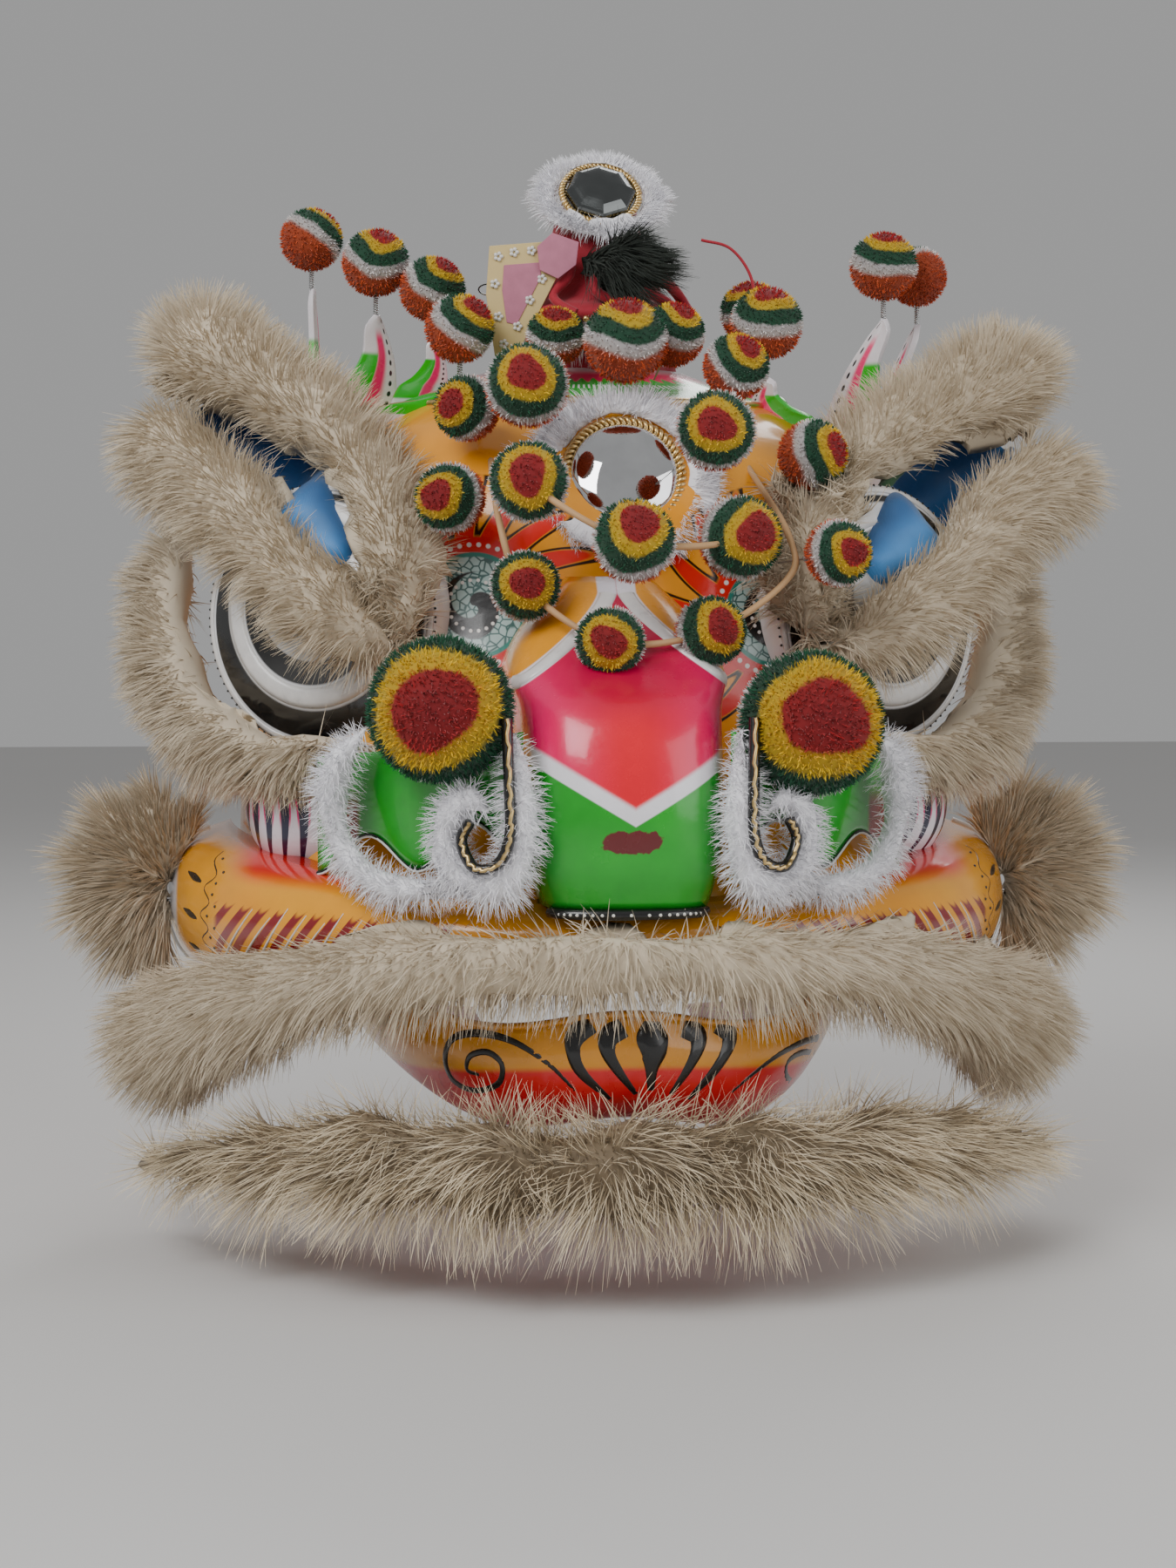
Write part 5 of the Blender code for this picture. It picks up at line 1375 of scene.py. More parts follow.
def make_nose():
    """The smooth nose with its white borders and the beaded strip under it."""
    columns, levels = 61, 43
    rows = [
        [nose_point(i / (levels - 1), math.radians(-90 + 180 * j / (columns - 1))) for j in range(columns)]
        for i in range(levels)
    ]
    thing = wall(sheet("nose_skin", rows, finish("nose")), Vector((0, 0, NOSE_BOTTOM)))
    tree = tree_of(thing)
    strip, pearls = [], []
    for k in range(41):
        turn = math.radians(-62 + 124 * k / 40)
        place = nose_point(0.0, turn) + Vector((0, -0.001, -0.003))
        strip.append((*place, 0.0036))
        if k % 2 == 0:
            pearls.append((place.x, place.y - 0.0036, place.z, 0.0011))
    border = []
    for side in (-1, 1):
        stroke = []
        for k in range(25):
            t = k / 24
            z = 0.186 + 0.060 * t
            x = 0.068 * (1 - t) ** 1.35 + 0.006
            hit = tree.ray_cast(Vector((0.002 + side * x, -1, z)), Vector((0, 1, 0)))[0]
            if hit:
                stroke.append((*hit, 0.0056))
        border.append(stroke)
    parts = [
        thing,
        painted_lines("bridge_border", border, thing, finish("white_line"), 0.22),
        piping("chin_strip", [strip], finish("black_line")),
        beads("chin_pearls", pearls, finish("pearl")),
    ]
    return keep(join("nose_lacquer", parts), "head", "nose_paint", "nose")


def nostril_point(side, share, down):
    """Point of a nostril wing along its span and down it."""
    x = NOSE_HALF_WIDTH * 0.98 + NOSTRIL_SPAN * share
    tip = 0.55 + 0.45 * math.cos(4 * math.pi * share) * (1 - 0.3 * share)
    z = NOSE_BOTTOM + NOSTRIL_HEIGHT * (1.28 - 0.25 * share - (0.55 + 0.4 * tip) * down)
    bulge = NOSTRIL_BULGE * math.sin(math.pi * min(share + 0.12, 1.0)) * (1 - down ** 2 * 0.5)
    y = -(NOSE_REACH * 0.90 - NOSTRIL_SPAN * 0.78 * share ** 1.4) - bulge * 0.6
    return Vector((side * x, y, z))


def make_nostril(side, word):
    """A smooth nostril wing, its edge piped in white and black, the curl piped in gold."""
    rows = [[nostril_point(side, j / 32, i / 12) for j in range(33)] for i in range(13)]
    thing = sheet(f"nostril_{word}_skin", rows, finish("nostril"))
    thing = wall(thing, Vector((side * NOSE_HALF_WIDTH, 0, NOSE_BOTTOM)))
    lower = [(*nostril_point(side, k / 40, 1.0), 0.0016) for k in range(41)]
    rim = [(x, y - 0.0014, z - 0.0006, 0.0009) for x, y, z, _ in lower]
    gold, black = [], []
    for k, (across, forward, up) in enumerate(smooth_path(NOSTRIL_PIPING, 60)):
        place = at(side * across, forward, up)
        wave = 0.0008 * math.sin(k * 1.9)
        gold.append((place.x + wave, place.y - 0.002, place.z + wave, 0.0013))
        black.append((place.x, place.y + 0.002, place.z, 0.0036))
    parts = [
        thing,
        piping("edge_black", [lower, black], finish("black_line"), 6),
        piping("edge_white", [rim], finish("white_line"), 6),
        piping("edge_gold", [gold], finish("gold"), 6),
    ]
    piece = join(f"nostril_{word}_lacquer", parts)
    return keep(piece, "head", "nose_paint", f"nostril_{word}")


def dome(name, centre, facing, radius, tall, height, power, skirt, material):
    """A dome on its skirt, with its face's own coordinates in its paint attribute."""
    right, top, ahead = basis(facing)
    rows, paints = [], []
    shares = [(1.0, -skirt), (1.0, -skirt / 2), (1.0, 0.0)]
    shares += [(s, height * (1 - s ** power)) for s in (k / 24 for k in range(23, 0, -1))]
    for share, rise in shares:
        row, colours = [], []
        for i in range(72):
            turn = 2 * math.pi * i / 72
            flat = right * math.cos(turn) + top * (tall * math.sin(turn))
            row.append(centre + flat * (radius * share) + ahead * rise)
            colours.append((share * math.cos(turn), share * math.sin(turn), 0.0))
        rows.append(row)
        paints.append(colours)
    thing = sheet(name, rows, material, closed=True, tip=centre + ahead * height,
                  tip_paint=(0, 0, 0), paints=paints)
    return wall(thing, centre - ahead * radius)


def front_spot(tree, across, up):
    """Where a line from the front meets the shell."""
    return tree.ray_cast(at(across, 3.0, up), Vector((0, 1, 0)))[0]


def make_eye(side, word, tree):
    """An eye with its raised crescent, its rim and its row of stitches."""
    facing = Vector((side * 0.50, -0.86, 0.05)).normalized()
    centre = front_spot(tree, side * 0.73, 0.54) + facing * 0.016
    thing = dome(f"eye_{word}_skin", centre, facing, EYE_RADIUS, 1.02, EYE_DOME, 1.8, EYE_SKIRT, finish("eye"))
    right, top, ahead = basis(facing)

    def ring(radius, middle, lift, size, low, high, count):
        rows = []
        for k in range(count):
            turn = math.radians(low + (high - low) * k / (count - 1))
            u = middle[0] + radius * math.cos(turn)
            v = middle[1] + radius * math.sin(turn)
            share = min(math.hypot(u, v), 1.0)
            place = centre + (right * u + top * (v * 1.02)) * EYE_RADIUS
            rows.append((*(place + ahead * (EYE_DOME * (1 - share ** 1.8) + lift)), size))
        return rows

    white = [
        ring(0.970, (0, 0), 0.0006, 0.0024, 0, 360, 97),
        ring(0.695, (0.02, 0.08), 0.0, 0.0078, 100, 440, 81),
    ]
    stitches = [p for p in ring(1.0, (0, 0), 0.0, 0.0009, 0, 358, 96)]
    parts = [
        thing,
        painted_lines("eye_white", white, thing, finish("white_line"), 0.28),
        beads("eye_stitches", stitches, finish("black_line")),
    ]
    piece = join(f"eye_{word}_lacquer", parts)
    return keep(piece, "head", "eye_paint", f"eye_{word}")


def make_gill(side, word, tree):
    """A striped gill."""
    facing = Vector((side * 0.62, -0.78, -0.05)).normalized()
    centre = front_spot(tree, side * 0.80, 0.235) + facing * 0.010
    thing = dome(f"gill_{word}_lacquer", centre, facing, GILL_RADIUS, 0.86, GILL_DOME, 2.4, GILL_SKIRT,
                 finish("gill"))
    return keep(thing, "head", "gill_paint", f"gill_{word}")


def far_shift(side, share):
    """The right ear spreads wider and lower towards its tip."""
    return Vector((0.035 * share, 0, -0.022 * share)) if side > 0 else Vector()


def ear_line(side):
    """Foot and tip of an ear."""
    return at(side * 0.60, 0.50, 0.560), at(side * 1.14, 0.20, 0.930) + far_shift(side, 1.0)


def make_ear(side, word):
    """A cloth ear: a trough with a rolled lower edge, and beaded braid on the right one."""
    foot, tip = ear_line(side)
    ahead = (tip - foot).normalized()
    opening = Vector((0, -1, 0))
    opening = (opening - ahead * opening.dot(ahead)).normalized()
    wide = ahead.cross(opening).normalized()
    if wide.z < 0:
        wide = -wide
    rows, paints = [], []
    for i in range(1, 30):
        share = i / 30
        swell = math.sin(math.pi * share) ** 0.6
        centre = foot + ahead * (EAR_LENGTH * share)
        row, colours = [], []
        rise = clamp((EAR_LINING_END - share) / EAR_LINING_FADE)
        rise = rise * rise * (3 - 2 * rise)
        for j in range(25):
            turn = math.radians(-90 + 7.5 * j)
            hollow = EAR_DEPTH * swell * math.cos(turn)
            padded = EAR_LINING * min(swell * 2.0, 1.0) * max(math.cos(turn), 0.0) ** 0.4
            crease = 0.0012 * math.sin(share * 40 + j * 0.7) * math.cos(turn)
            row.append(centre + wide * (EAR_HALF_WIDTH * swell * math.sin(turn))
                       + opening * (padded * rise - hollow * (1 - rise) + crease))
            colours.append((j / 24, share, 0.0))
        rows.append(row)
        paints.append(colours)
    thing = sheet(f"ear_{word}_skin", rows, finish("ear"), paints=paints)
    thing = wall(thing, foot + ahead * (EAR_LENGTH * 0.5), 0.0025)
    low_edge = [(*(row[1] + opening * 0.002), 0.0052 * math.sin(math.pi * (i + 1) / 30) ** 0.5)
                for i, row in enumerate(rows)]
    parts = [thing, piping("ear_roll", [low_edge], finish("ear_edge"), 10)]
    if side > 0:
        braid = [(*(row[23] + opening * 0.003), 0.0048) for row in rows[:17]]
        pearls = [(x, y - 0.0045, z, 0.0016) for x, y, z, _ in smooth_path(braid, 34)]
        parts.append(piping("ear_braid", [braid], finish("green_braid")))
        parts.append(beads("ear_pearls", pearls, finish("pearl")))
    piece = join(f"ear_{word}_cloth", parts)
    return keep(piece, "head", "ear_cloth", f"ear_{word}")


def jaw_point(turn, share):
    """Point of the jaw's tray at a turn from its front and a share of its depth."""
    reach, drop = between(JAW_SECTION, share)
    side_share = abs(math.sin(turn))
    top = -0.20 * JAW_HEIGHT - 0.17 * JAW_HEIGHT * math.sin(math.pi * side_share) ** 2
    height = JAW_HEIGHT * (1 - 0.35 * side_share ** 3)
    y = ARM_OVERRUN - (JAW_REACH + ARM_OVERRUN) * reach * abs(math.cos(turn)) ** 0.85
    return Vector((JAW_HALF_WIDTH * reach * math.sin(turn), y, top - height * drop))


def lug(side):
    """A ring of papier round the grip bar at the end of a jaw's arm."""
    middle = side * (JAW_HALF_WIDTH - PAPIER_WALL / 2 - LUG_WIDTH / 2)
    half = LUG_WIDTH / 2
    bore = BAR_RADIUS + 0.0006
    loop = [(-half, bore), (-half, LUG_RADIUS - 0.002), (-half + 0.002, LUG_RADIUS),
            (half - 0.002, LUG_RADIUS), (half, LUG_RADIUS - 0.002), (half, bore)]
    bm = bmesh.new()
    rings = []
    for i in range(48):
        turn = 2 * math.pi * i / 48
        rings.append([bm.verts.new((middle + dx, r * math.cos(turn), r * math.sin(turn))) for dx, r in loop])
    for i in range(48):
        a, b = rings[i], rings[(i + 1) % 48]
        for j in range(6):
            bm.faces.new((a[j], a[(j + 1) % 6], b[(j + 1) % 6], b[j]))
    bmesh.ops.recalc_face_normals(bm, faces=bm.faces)
    mesh = bpy.data.meshes.new("lug")
    bm.to_mesh(mesh)
    bm.free()
    mesh.materials.append(finish("jaw"))
    return new_object("lug", mesh)


def make_jaw():
    """The smooth jaw with its painted drops and scrolls, its rim and its lugs."""
    columns, levels = 97, 25
    rows = [
        [jaw_point(math.radians(-90 + 180 * j / (columns - 1)), i / (levels - 1)) for j in range(columns)]
        for i in range(levels)
    ]
    thing = wall(sheet("jaw_skin", rows, finish("jaw")), Vector((0, 0, JAW_HEIGHT)))
    strokes = [drawn(thing, stroke, 60 if len(stroke) > 6 else 22) for stroke in JAW_STROKES]
    rim = [(*(p + Vector((0, 0.0015, 0.0004))), 0.0024) for p in rows[0]]
    parts = [
        thing,
        painted_lines("jaw_scrolls", strokes, thing, finish("black_line"), 0.08),
        piping("jaw_rim", [rim], finish("jaw")),
        lug(-1),
        lug(1),
    ]
    return keep(join("jaw_lacquer", parts), "jaw", "papier_yellow", "jaw")


# Fur


def flow_from_ear(side):
    """Fur lies away from the ear's line and a little along it."""
    foot, tip = ear_line(side)
    ahead = (tip - foot).normalized()

    def flow(place):
        share = clamp((place - foot).dot(ahead), 0.0, EAR_LENGTH)
        return (place - foot - ahead * share).normalized() + ahead * 0.35

    return flow


def flow_from(centre, extra=(0, 0, 0)):
    """Fur lies away from a place."""
    return lambda place: (place - centre).normalized() + Vector(extra)


def lip_flow(place):
    """Fur hangs down in the middle and sweeps out to the ends."""
    out = clamp(abs(place.x) / 0.22)
    return Vector((math.copysign(out * 0.95, place.x), -0.25, -0.85 + 0.35 * out))


def beard_flow(place):
    """Long fur sweeps forward and out to the ends."""
    sway = 0.5 * noise.noise(place * 14.0)
    return Vector((place.x / 0.30 * 1.0 + sway, -0.45, -0.10))


def hair_flow(_):
    """Feathery hair sweeps to the right and down."""
    return Vector((1.0, -0.5, -0.25))


def bare_inside(line):
    """Share of the fur that grows at a place: little where it looks at a line or a centre."""

    def share(place, normal):
        return clamp(0.55 + 1.3 * normal.dot((place - line(place)).normalized()), 0.03, 1.0)

    return share


def furred(name, node, body, slot, material, flow, count, growth=None, **shape):
    """Strands over a copy of a solid. count is how many strands it gets in all."""
    settings = bpy.context.scene.lion_fur
    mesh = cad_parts[node].data.copy()
    mesh.materials.clear()
    mesh.materials.append(material)
    bm = bmesh.new()
    bm.from_mesh(mesh)
    bmesh.ops.remove_doubles(bm, verts=bm.verts, dist=0.00005)
    bmesh.ops.subdivide_edges(bm, edges=bm.edges, cuts=1, use_grid_fill=True, smooth=0.4)
    bmesh.ops.triangulate(bm, faces=bm.faces)
    bmesh.ops.recalc_face_normals(bm, faces=bm.faces)
    flow_layer = bm.verts.layers.float_vector.new("flow")
    cover_layer = bm.verts.layers.float.new("cover")
    head = Vector((0, 0.0, 0.15))
    bm.normal_update()
    for v in bm.verts:
        away = (v.co - head).normalized()
        v[flow_layer] = flow(v.co)
        v[cover_layer] = clamp(v.normal.dot(away) * 1.6 + 1.0, 0.05, 1.0)
        if growth:
            v[cover_layer] = growth(v.co, v.normal)
    area = sum(f.calc_area() * sum(v[cover_layer] for v in f.verts) / len(f.verts) for f in bm.faces)
    bm.to_mesh(mesh)
    bm.free()
    mesh.shade_smooth()
    wanted = count * settings.fullness * 1.0
    values = {
        "density": wanted / area, "width": settings.strand_width, "sink": 0.011, "lean": 0.9,
        "droop": 0.15, "stray": 0.34, "clump": 1.25, "clump_scale": 52.0, "steps": 4,
        "seed": STRAND_SEED + count % 97, "material": material,
    }
    values.update(shape)
    values["length"] = values["length"] * settings.length_share
    thing = run_tree(new_object(name, mesh), strands_tree(), **values)
    return keep(thing, body, slot, node)


def ring_base(name, centre, facing, radius, depth, material):
    """A plain round ring, the backing of a ring of fur that has no solid of its own."""
    right, top, ahead = basis(facing)
    rows = []
    for i in range(48):
        turn = 2 * math.pi * i / 48
        out = right * math.cos(turn) + top * math.sin(turn)
        rows.append([
            centre + out * (radius + depth * math.cos(a)) + ahead * (depth * math.sin(a))
            for a in (2 * math.pi * j / 8 for j in range(8))
        ])
    rows.append(rows[0])
    thing = sheet(name, rows, material, closed=True)
    bm = bmesh.new()
    bm.from_mesh(thing.data)
    bmesh.ops.remove_doubles(bm, verts=bm.verts, dist=0.00005)
    bmesh.ops.recalc_face_normals(bm, faces=bm.faces)
    bm.to_mesh(thing.data)
    bm.free()
    return thing


# Pompoms, hoops, fins, mirrors, horn


def pile_ball(name, centre, radius, cap, count, seed, spread=1.0):
    """A ball of wool pile with its rings of colour round the cap, drawn wider by a spread."""
    cap = Vector(cap).normalized()
    bm = bmesh.new()
    bmesh.ops.create_uvsphere(bm, u_segments=28, v_segments=18, radius=radius * 0.93)
    ring_layer = bm.verts.layers.float.new("ring")
    cover_layer = bm.verts.layers.float.new("cover")
    flow_layer = bm.verts.layers.float_vector.new("flow")
    right, top, _ = basis(cap, Vector((0.1, 0.2, 1.0)))
    for v in bm.verts:
        way = v.co.normalized()
        turn = math.atan2(way.dot(top), way.dot(right))
        angle = way.angle(cap) / math.pi
        heart = 0.020 * math.cos(2 * turn + seed) + 0.012 * math.cos(3 * turn + 2.1 * seed)
        uneven = 0.030 * noise.noise(way * 1.8 + Vector((seed, 0, 0)))
        v[ring_layer] = clamp((angle + (heart + uneven) * min(angle * 6, 1.0)) / spread)
        v[cover_layer] = 1.0
        v[flow_layer] = (0, 0, 0)
        lumpy = 1 + 0.020 * noise.noise(way * 2.6 + Vector((0, seed, 0)))
        v.co = centre + v.co * lumpy
    mesh = bpy.data.meshes.new(name)
    bm.to_mesh(mesh)
    bm.free()
    mesh.materials.append(finish("pile"))
    mesh.shade_smooth()
    wanted = count * 1.0
    return run_tree(
        new_object(name, mesh), strands_tree(), density=wanted / (4 * math.pi * radius ** 2),
        length=radius * 0.07 + 0.0010, width=0.0013, sink=0.0003, lean=0.0, droop=0.0, stray=0.5,
        clump=0.3, clump_scale=260.0, steps=2, seed=seed, material=finish("pile"),
    )


def spring(foot, tip):
    """A straight wire that ends in a coil under the pompom, as two strokes."""
    reach = (tip - foot).length
    right, top, ahead = basis(tip - foot, Vector((0.3, 1, 0.1)))
    coil = min(SPRING_SHOWN + 0.004, reach)
    turns = 9
    rows = []
    for k in range(turns * 10 + 1):
        turn = 2 * math.pi * k / 10
        place = foot + ahead * (reach - coil + coil * k / (turns * 10))
        place += (right * math.cos(turn) + top * math.sin(turn)) * 0.0017
        rows.append((*place, 0.00045))
    straight = [(*foot, 0.0007), (*(foot + ahead * (reach - coil * 0.9)), 0.0007)]
    return [straight, rows]


def make_pompom(name, node, centre, radius, foot, cap, count, seed, spread=1.0):
    """A pompom and its wire."""
    tip = centre - (centre - foot).normalized() * radius * 0.9
    parts = [
        pile_ball("ball", centre, radius, cap, count, seed, spread),
        piping("spring", spring(foot, tip), finish("wire"), 5),
    ]
    return keep(join(name, parts), "head", "pompom_pile", node)


def make_hoop(name, node, ends, table, seed):
    """A rattan hoop with its pompoms."""
    beads_on = [at(a, f, u) for a, f, u, _, _ in table]
    path = smooth_path([ends[0], *beads_on, ends[1]], 120)
    stroke = [(*p, RATTAN_RADIUS * (0.92 + 0.06 * math.sin(i * 0.37))) for i, p in enumerate(path)]
    parts = [piping("rattan", [stroke], finish("rattan"), 10)]
    for i, (across, forward, up, size, cap) in enumerate(table):
        if size:
            centre = at(across, forward, up)
            parts.append(pile_ball("ball", centre, POMPOM_RADIUS * size, cap, 2300, seed + i, 1.12))
    return keep(join(name, parts), "head", "rattan", node)


def make_fin(number, node, row, tip, tree):
    """A painted fin, rounded at its edges, wired to its pompom."""
    across, forward, up, width, turn = row
    flip = -1.0 if across > 0 else 1.0
    foot = tree.find_nearest(at(across, forward, up))[0]
    wide = Vector((math.cos(math.radians(turn)) * flip, math.sin(math.radians(turn)) * flip, 0))
    rise = tip - foot
    thick = wide.cross(rise).normalized()
    rows, paints = [], []
    for i in range(33):
        height = -0.10 + 1.10 * i / 32
        hollow = between(FIN_HOLLOW_EDGE, height)[0]
        rounded = between(FIN_ROUND_EDGE, height)[0]
        row_points, colours = [], []
        for j in range(17):
            share = j / 16
            w = hollow + (rounded - hollow) * share
            puff = 0.0012 * math.sin(math.pi * share)
            row_points.append(foot + wide * (w * FIN_WIDTH * width) + rise * height + thick * puff)
            colours.append((share, height, 0.0))
        rows.append(row_points)
        paints.append(colours)
    thing = sheet(f"fin_{number}_painted", rows, finish("fin"), paints=paints)
    solidify = thing.modifiers.new("card", "SOLIDIFY")
    solidify.thickness = FIN_THICKNESS * 0.75
    solidify.offset = 0.0
    bevel = thing.modifiers.new("edge", "BEVEL")
    bevel.width = 0.0012
    bevel.segments = 2
    bevel.limit_method = "ANGLE"
    bake(thing)
    return keep(thing, "head", "fin_paint", node)


def gold_braid(name, centre, facing, radius, size, lift):
    """A wavy double braid in a ring."""
    right, top, ahead = basis(facing)
    strands = []
    for phase in (0.0, math.pi):
        rows = []
        for k in range(241):
            turn = 2 * math.pi * k / 240
            wave = math.sin(turn * 30 + phase)
            out = right * math.cos(turn) + top * math.sin(turn)
            place = centre + out * (radius + wave * size) + ahead * (lift + size * math.cos(turn * 30 + phase))
            rows.append((*place, size * 0.75))
        strands.append(rows)
    return piping(name, strands, finish("gold"), 6)


def make_mirror(name, node, centre, facing, radius, material, braid, facets=0):
    """A domed mirror in a ring of gold braid."""
    _, _, ahead = basis(facing)
    profile = [(0.0, 0.0), (0.0, radius), (MIRROR_EDGE, radius)]
    for k in range(1, 13):
        turn = math.pi / 2 * k / 12
        profile.append((MIRROR_EDGE + MIRROR_DOME * math.sin(turn), max(radius * math.cos(turn), 0.0)))
    thing = lathe("glass", centre, ahead, profile, facets or 64, material)
    if facets:
        for polygon in thing.data.polygons:
            polygon.use_smooth = False
    parts = [thing, gold_braid("braid", centre, facing, radius + braid, braid, MIRROR_EDGE)]
    return keep(join(name, parts), "head", "mirror_glass", node)


def horn_frame():
    """Foot and axis of the horn."""
    return at(0.04, 0.017, HORN_SEAT), Vector((0.0, -0.14, 1.0)).normalized()


def horn_mirror_place():
    """Centre and facing of the horn's mirror."""
    foot, ahead = horn_frame()
    facing = Vector((0.02, -0.80, 0.60)).normalized()
    return foot + ahead * (HORN_HEIGHT * 0.80) + facing * 0.022, facing


def make_horn():
    """The cloth-wrapped horn: folds, a brim with sequins, ribbons and a hanging cord loop."""
    foot, ahead = horn_frame()
    right, top, _ = basis(ahead, Vector((0.3, 1, 0.1)))
    rows = []
    for k in range(41):
        share = k / 40
        radius = between(HORN_PROFILE, share)[0]
        size = min(max(HORN_RADIUS * radius, 0.010), HORN_BRIM)
        row = []
        for i in range(72):
            turn = 2 * math.pi * i / 72
            fold = 1 + 0.030 * math.sin(turn * 9 + share * 5) * (1 if size < 0.065 else 0.4)
            row.append(foot + ahead * (HORN_HEIGHT * share)
                       + (right * math.cos(turn) + top * math.sin(turn)) * size * fold * 0.985)
        rows.append(row)
    body = sheet("horn_body", rows, finish("red_cloth"), closed=True, tip=foot + ahead * (HORN_HEIGHT * 1.01))
    brim = foot + ahead * (HORN_HEIGHT * 0.35)
    ribbons = []
    for j in range(11):
        turn = 2 * math.pi * j / 11 + 0.3
        rows = []
        for k in range(14):
            t = k / 13
            sway = turn + 0.35 * t + 0.15 * math.sin(t * 6 + j)
            out = right * math.cos(sway) + top * math.sin(sway)
            reach = HORN_RADIUS * 0.86 + (HORN_BRIM * 0.98 - HORN_RADIUS * 0.86) * t
            lift = HORN_HEIGHT * (0.62 - 0.27 * t ** 0.8)
            rows.append((*(foot + ahead * lift + out * reach), 0.0050 - 0.002 * t))
        ribbons.append(rows)
    sequins = []
    for j in range(64):
        turn = 2 * math.pi * j / 64
        out = right * math.cos(turn) + top * math.sin(turn)
        sequins.append((*(brim + out * (HORN_BRIM * 0.99) - ahead * 0.004), 0.0024))
    loop = [at(0.34, 0.10, 1.18), at(0.42, 0.12, 1.165), at(0.475, 0.14, 1.12), at(0.49, 0.16, 1.06),
            at(0.485, 0.17, 1.03)]
    cord = [(*p, 0.0012) for p in smooth_path(loop, 40)]
    curl = [(*(foot + Vector((-0.080, -0.050, 0.058)) + Vector((0.008 * math.cos(a), 0, 0.004 * math.sin(a)))), 0.0006)
            for a in (k * 0.35 for k in range(30))]
    parts = [
        body,
        piping("ribbons", ribbons, finish("red_cloth"), 8),
        beads("sequins", sequins, finish("gold")),
        piping("cord", [cord], finish("red_cloth"), 6),
        piping("curl", [curl], finish("wire"), 5),
    ]
    return keep(join("horn_wrapped", parts), "head", "horn_cloth", "horn")


def flat_card(name, centre, outline, size, material, lift, thickness=0.0015):
    """A flat card that faces the front."""
    bm = bmesh.new()
    ring = [bm.verts.new(centre + Vector((a * size, lift, u * size))) for a, u in outline]
    face = bm.faces.new(ring)
    made = bmesh.ops.extrude_face_region(bm, geom=[face])
    for v in (g for g in made["geom"] if isinstance(g, bmesh.types.BMVert)):
        v.co.y += thickness
    bmesh.ops.bevel(bm, geom=bm.edges[:], offset=0.0003, segments=1, affect="EDGES")
    bmesh.ops.recalc_face_normals(bm, faces=bm.faces)
    mesh = bpy.data.meshes.new(name)
    bm.to_mesh(mesh)
    bm.free()
    mesh.materials.append(material)
    return new_object(name, mesh)


def make_tag():
    """The card tag with generic flowers and a plain pink field, and a small pink card by it."""
    foot, _ = horn_frame()
    centre = foot + Vector((-0.062, -0.060, HORN_HEIGHT * 0.42))
    parts = [flat_card("card_face", centre, TAG_OUTLINE, TAG_SIZE, finish("card"), 0.0)]
    field = [(a * 0.52 + 0.02, u * 0.52) for a, u in TAG_OUTLINE]
    parts.append(flat_card("card_field", centre, field, TAG_SIZE, finish("pink_card"), -0.0008, 0.001))
    petals = []
    for a, u in ((-0.20, 0.33), (-0.24, 0.02), (-0.20, -0.35), (-0.14, -0.66), (0.02, -0.46),
                 (0.16, -0.16), (0.30, 0.08), (0.42, 0.36), (0.18, 0.40), (-0.02, 0.38)):
        for k in range(5):
            turn = 2 * math.pi * k / 5
            spot = centre + Vector((a * TAG_SIZE + 0.0022 * math.cos(turn), -0.0006,
                                    u * TAG_SIZE + 0.0022 * math.sin(turn)))
            petals.append((*spot, 0.0015))
    parts.append(beads("flowers", petals, finish("pearl")))
    small = [(0.30, 0.55), (0.52, 0.75), (0.90, 0.62), (0.86, 0.30), (0.60, 0.10), (0.34, 0.22)]
    parts.append(flat_card("small_card", centre, small, TAG_SIZE * 0.8, finish("pink_card"), -0.004, 0.0014))
    return keep(join("tag_printed", parts), "head", "card", "tag")


# Add-on classes


class LionFurSettings(bpy.types.PropertyGroup):
    """How full and how long the fur is."""

    fullness: FloatProperty(
        name="Fullness", description="Share of the usual number of strands", default=1.0, min=0.1, max=1.5
    )
    length_share: FloatProperty(
        name="Length share", description="Share of the usual strand length", default=1.0, min=0.3, max=1.5
    )
    strand_width: FloatProperty(
        name="Strand width", description="Width of a strand at its root", default=0.0011,
        min=0.0003, max=0.003, unit="LENGTH",
    )


class LionPompomSettings(bpy.types.PropertyGroup):
    """The wool pile of the pompoms."""

    pile_count: IntProperty(
        name="Pile count", description="Tufts of wool on a small pompom", default=2300, min=200, max=6000
    )
    big_pile_count: IntProperty(
        name="Big pile count", description="Tufts of wool on a big pompom", default=7500, min=500, max=15000
    )


class LionStageSettings(bpy.types.PropertyGroup):
    """Floor, light and camera."""

    floor_drop: FloatProperty(
        name="Floor drop", description="Floor below the solids' lowest point", default=0.035, unit="LENGTH"
    )
    key_power: FloatProperty(name="Key power", description="Power of the main soft light", default=36.0, unit="POWER")
    floor_colour: FloatVectorProperty(
        name="Floor colour", description="Pale floor", default=(0.62, 0.61, 0.60), subtype="COLOR"
    )


class LION_OT_shell(bpy.types.Operator):
    """Makes the papier shell, the upper jaw and the grip bar's finish"""

    bl_idname = "lion.shell"
    bl_label = "Shell and upper jaw"

    def execute(self, context):
        """Makes the pieces."""
        thing = make_shell()
        rim = []
        for k in range(121):
            degrees = -78 + 156 * k / 120
            place = shell_point(math.radians(degrees), 0.379)
            rim.append((*(place * 1.0), 0.0030))
        gold = piping("gold_rim", [rim], finish("gold"))
        keep(join("shell_lacquer", [thing, gold]), "head", "papier", "head_shell")
        make_cheeks()
        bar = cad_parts["grip_bar"]
        bar.data.materials.clear()
        bar.data.materials.append(finish("bamboo"))
        return {"FINISHED"}


